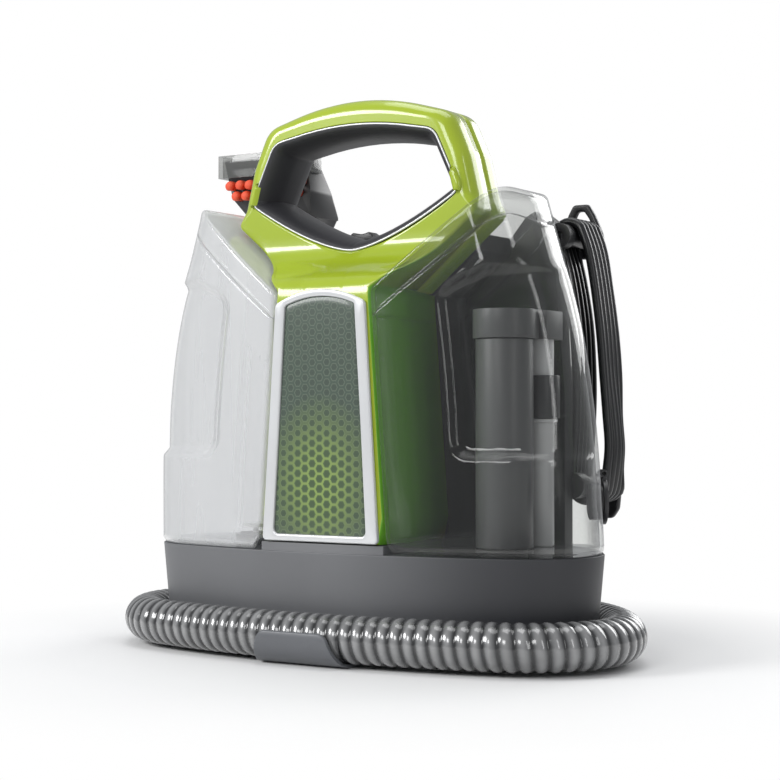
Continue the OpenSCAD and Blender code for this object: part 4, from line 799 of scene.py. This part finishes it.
def tufts():
    wx, wy = -103.97, 63.62; V, F = [], []; n = 20
    prof = [(-28.8, 0.0), (-28.8, 2.95), (-33.0, 3.0), (-35.4, 3.12), (-36.6, 3.0), (-37.4, 2.55), (-37.85, 1.8), (-38.05, 0.9), (-38.1, 0.0)]
    for row, (x0, st, cnt, z) in enumerate(((-34.8, 7.7, 8, 284), (-30, 7.7, 7, 277))):
        for i in range(cnt):
            cx, cz = wx+x0+st*i, z+0.18*math.sin(i*2.1+row); b = len(V)
            tilt = 0.5*math.sin(i*1.7+row*0.8)
            for j, (y, r) in enumerate(prof):
                yy = y - (wy and 0); f = smooth((-33.0-y)/5)
                if r == 0: V.append((cx+tilt*f*0.6, wy+y, cz-0.5*f)); continue
                for k in range(n):
                    a = 2*math.pi*k/n; rr = r*(1+0.03*f*math.sin(5*a+i))
                    V.append((cx+rr*math.cos(a)+tilt*f*0.6, wy+y, cz+rr*math.sin(a)-0.5*f))
            # first pole, rings, last pole
            ring = lambda j, k: b+1+(j-1)*n+(k % n)
            for k in range(n): F.append((b, ring(1, k+1), ring(1, k)))
            for j in range(1, len(prof)-2):
                for k in range(n): F.append((ring(j, k), ring(j, k+1), ring(j+1, k+1), ring(j+1, k)))
            e = b+1+(len(prof)-2)*n
            for k in range(n): F.append((ring(len(prof)-2, k), ring(len(prof)-2, k+1), e))
    ob = mesh_obj('bristle_bundles', V, F, BRISTLE, 'stain_tool', sharp=None)
    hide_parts('bristle_tufts')
tufts()
dress_cad()
scene.cycles.transparent_max_bounces = 32
scene.cycles.max_bounces = 16

# ------------------------------------------------------------------ camera, light, floor
cam = bpy.data.objects.new('camera', bpy.data.cameras.new('camera')); COL.objects.link(cam)
cam.location = (0.5529, -0.8848, 0.1327); cam.rotation_euler = (math.radians(91), 0, math.radians(32)); cam.data.lens = 82.0; cam.data.sensor_width = 36.0
scene.camera = cam
def area(name, loc, target, size, power, col=(1, 1, 1), sy=None):
    d = bpy.data.lights.new(name, 'AREA'); d.energy = power; d.color = col; d.size = size
    if sy: d.shape = 'RECTANGLE'; d.size_y = sy
    o = bpy.data.objects.new(name, d); COL.objects.link(o); o.location = loc
    o.rotation_euler = (Vector(target)-Vector(loc)).to_track_quat('-Z', 'Y').to_euler(); return o
area('key', (-1.05, -1.25, 0.95), (0, 0, 0.14), 0.75, 20, sy=0.6)
area('front', (0.1, -1.6, 0.9), (0, 0, 0.12), 0.6, 7, sy=0.5)
area('strip', (1.35, -0.55, 0.55), (0.1, 0, 0.14), 0.16, 2.2, sy=0.9)
area('top', (0.0, 0.1, 1.5), (0, 0, 0.1), 1.1, 7.5, sy=0.9)
area('rim', (0.35, 1.3, 0.7), (0, 0, 0.15), 0.9, 8, sy=0.7)
w = bpy.data.worlds.new('studio'); scene.world = w; w.use_nodes = True; wn = w.node_tree; wn.nodes.clear()
wo = wn.nodes.new('ShaderNodeOutputWorld'); lp = wn.nodes.new('ShaderNodeLightPath'); a_ = wn.nodes.new('ShaderNodeBackground'); b_ = wn.nodes.new('ShaderNodeBackground'); mxs = wn.nodes.new('ShaderNodeMixShader')
a_.inputs[0].default_value = (0.95, 0.97, 1.0, 1); a_.inputs[1].default_value = 0.42; b_.inputs[0].default_value = (1, 1, 1, 1); b_.inputs[1].default_value = 1.0
wn.links.new(lp.outputs['Is Camera Ray'], mxs.inputs[0]); wn.links.new(a_.outputs[0], mxs.inputs[1]); wn.links.new(b_.outputs[0], mxs.inputs[2]); wn.links.new(mxs.outputs[0], wo.inputs[0])
fm_, fnt, fo = new_mat('studio_floor')
fd = nd(fnt, 'ShaderNodeBsdfPrincipled'); fd.inputs['Base Color'].default_value = (0.86, 0.86, 0.86, 1); fd.inputs['Roughness'].default_value = 0.5
fe = nd(fnt, 'ShaderNodeEmission'); fe.inputs[0].default_value = (1, 1, 1, 1); fe.inputs[1].default_value = 1.0
ftc = nd(fnt, 'ShaderNodeTexCoord'); fl = nd(fnt, 'ShaderNodeVectorMath', operation='LENGTH'); fnt.links.new(ftc.outputs['Object'], fl.inputs[0])
frm = nd(fnt, 'ShaderNodeMapRange'); frm.inputs['From Min'].default_value = 0.19; frm.inputs['From Max'].default_value = 0.34; fnt.links.new(fl.outputs['Value'], frm.inputs['Value'])
fmx = nd(fnt, 'ShaderNodeMixShader'); fnt.links.new(frm.outputs[0], fmx.inputs[0]); fnt.links.new(fd.outputs[0], fmx.inputs[1]); fnt.links.new(fe.outputs[0], fmx.inputs[2]); fnt.links.new(fmx.outputs[0], fo.inputs[0])
V = [(0.0, 0.0, 0.0)]; F = []
for i in range(96): V.append((900*math.cos(2*math.pi*i/96), 900*math.sin(2*math.pi*i/96), 0.0))
for i in range(96): F.append((0, 1+i, 1+(i+1) % 96))
fme = bpy.data.meshes.new('floor'); fme.from_pydata([(a*MM, b*MM, c*MM-0.00005) for a, b, c in V], [], F); fme.update(); fob = bpy.data.objects.new('floor', fme); COL.objects.link(fob); fme.materials.append(fm_)
scene.view_settings.view_transform = 'Standard'; scene.view_settings.look = 'None'
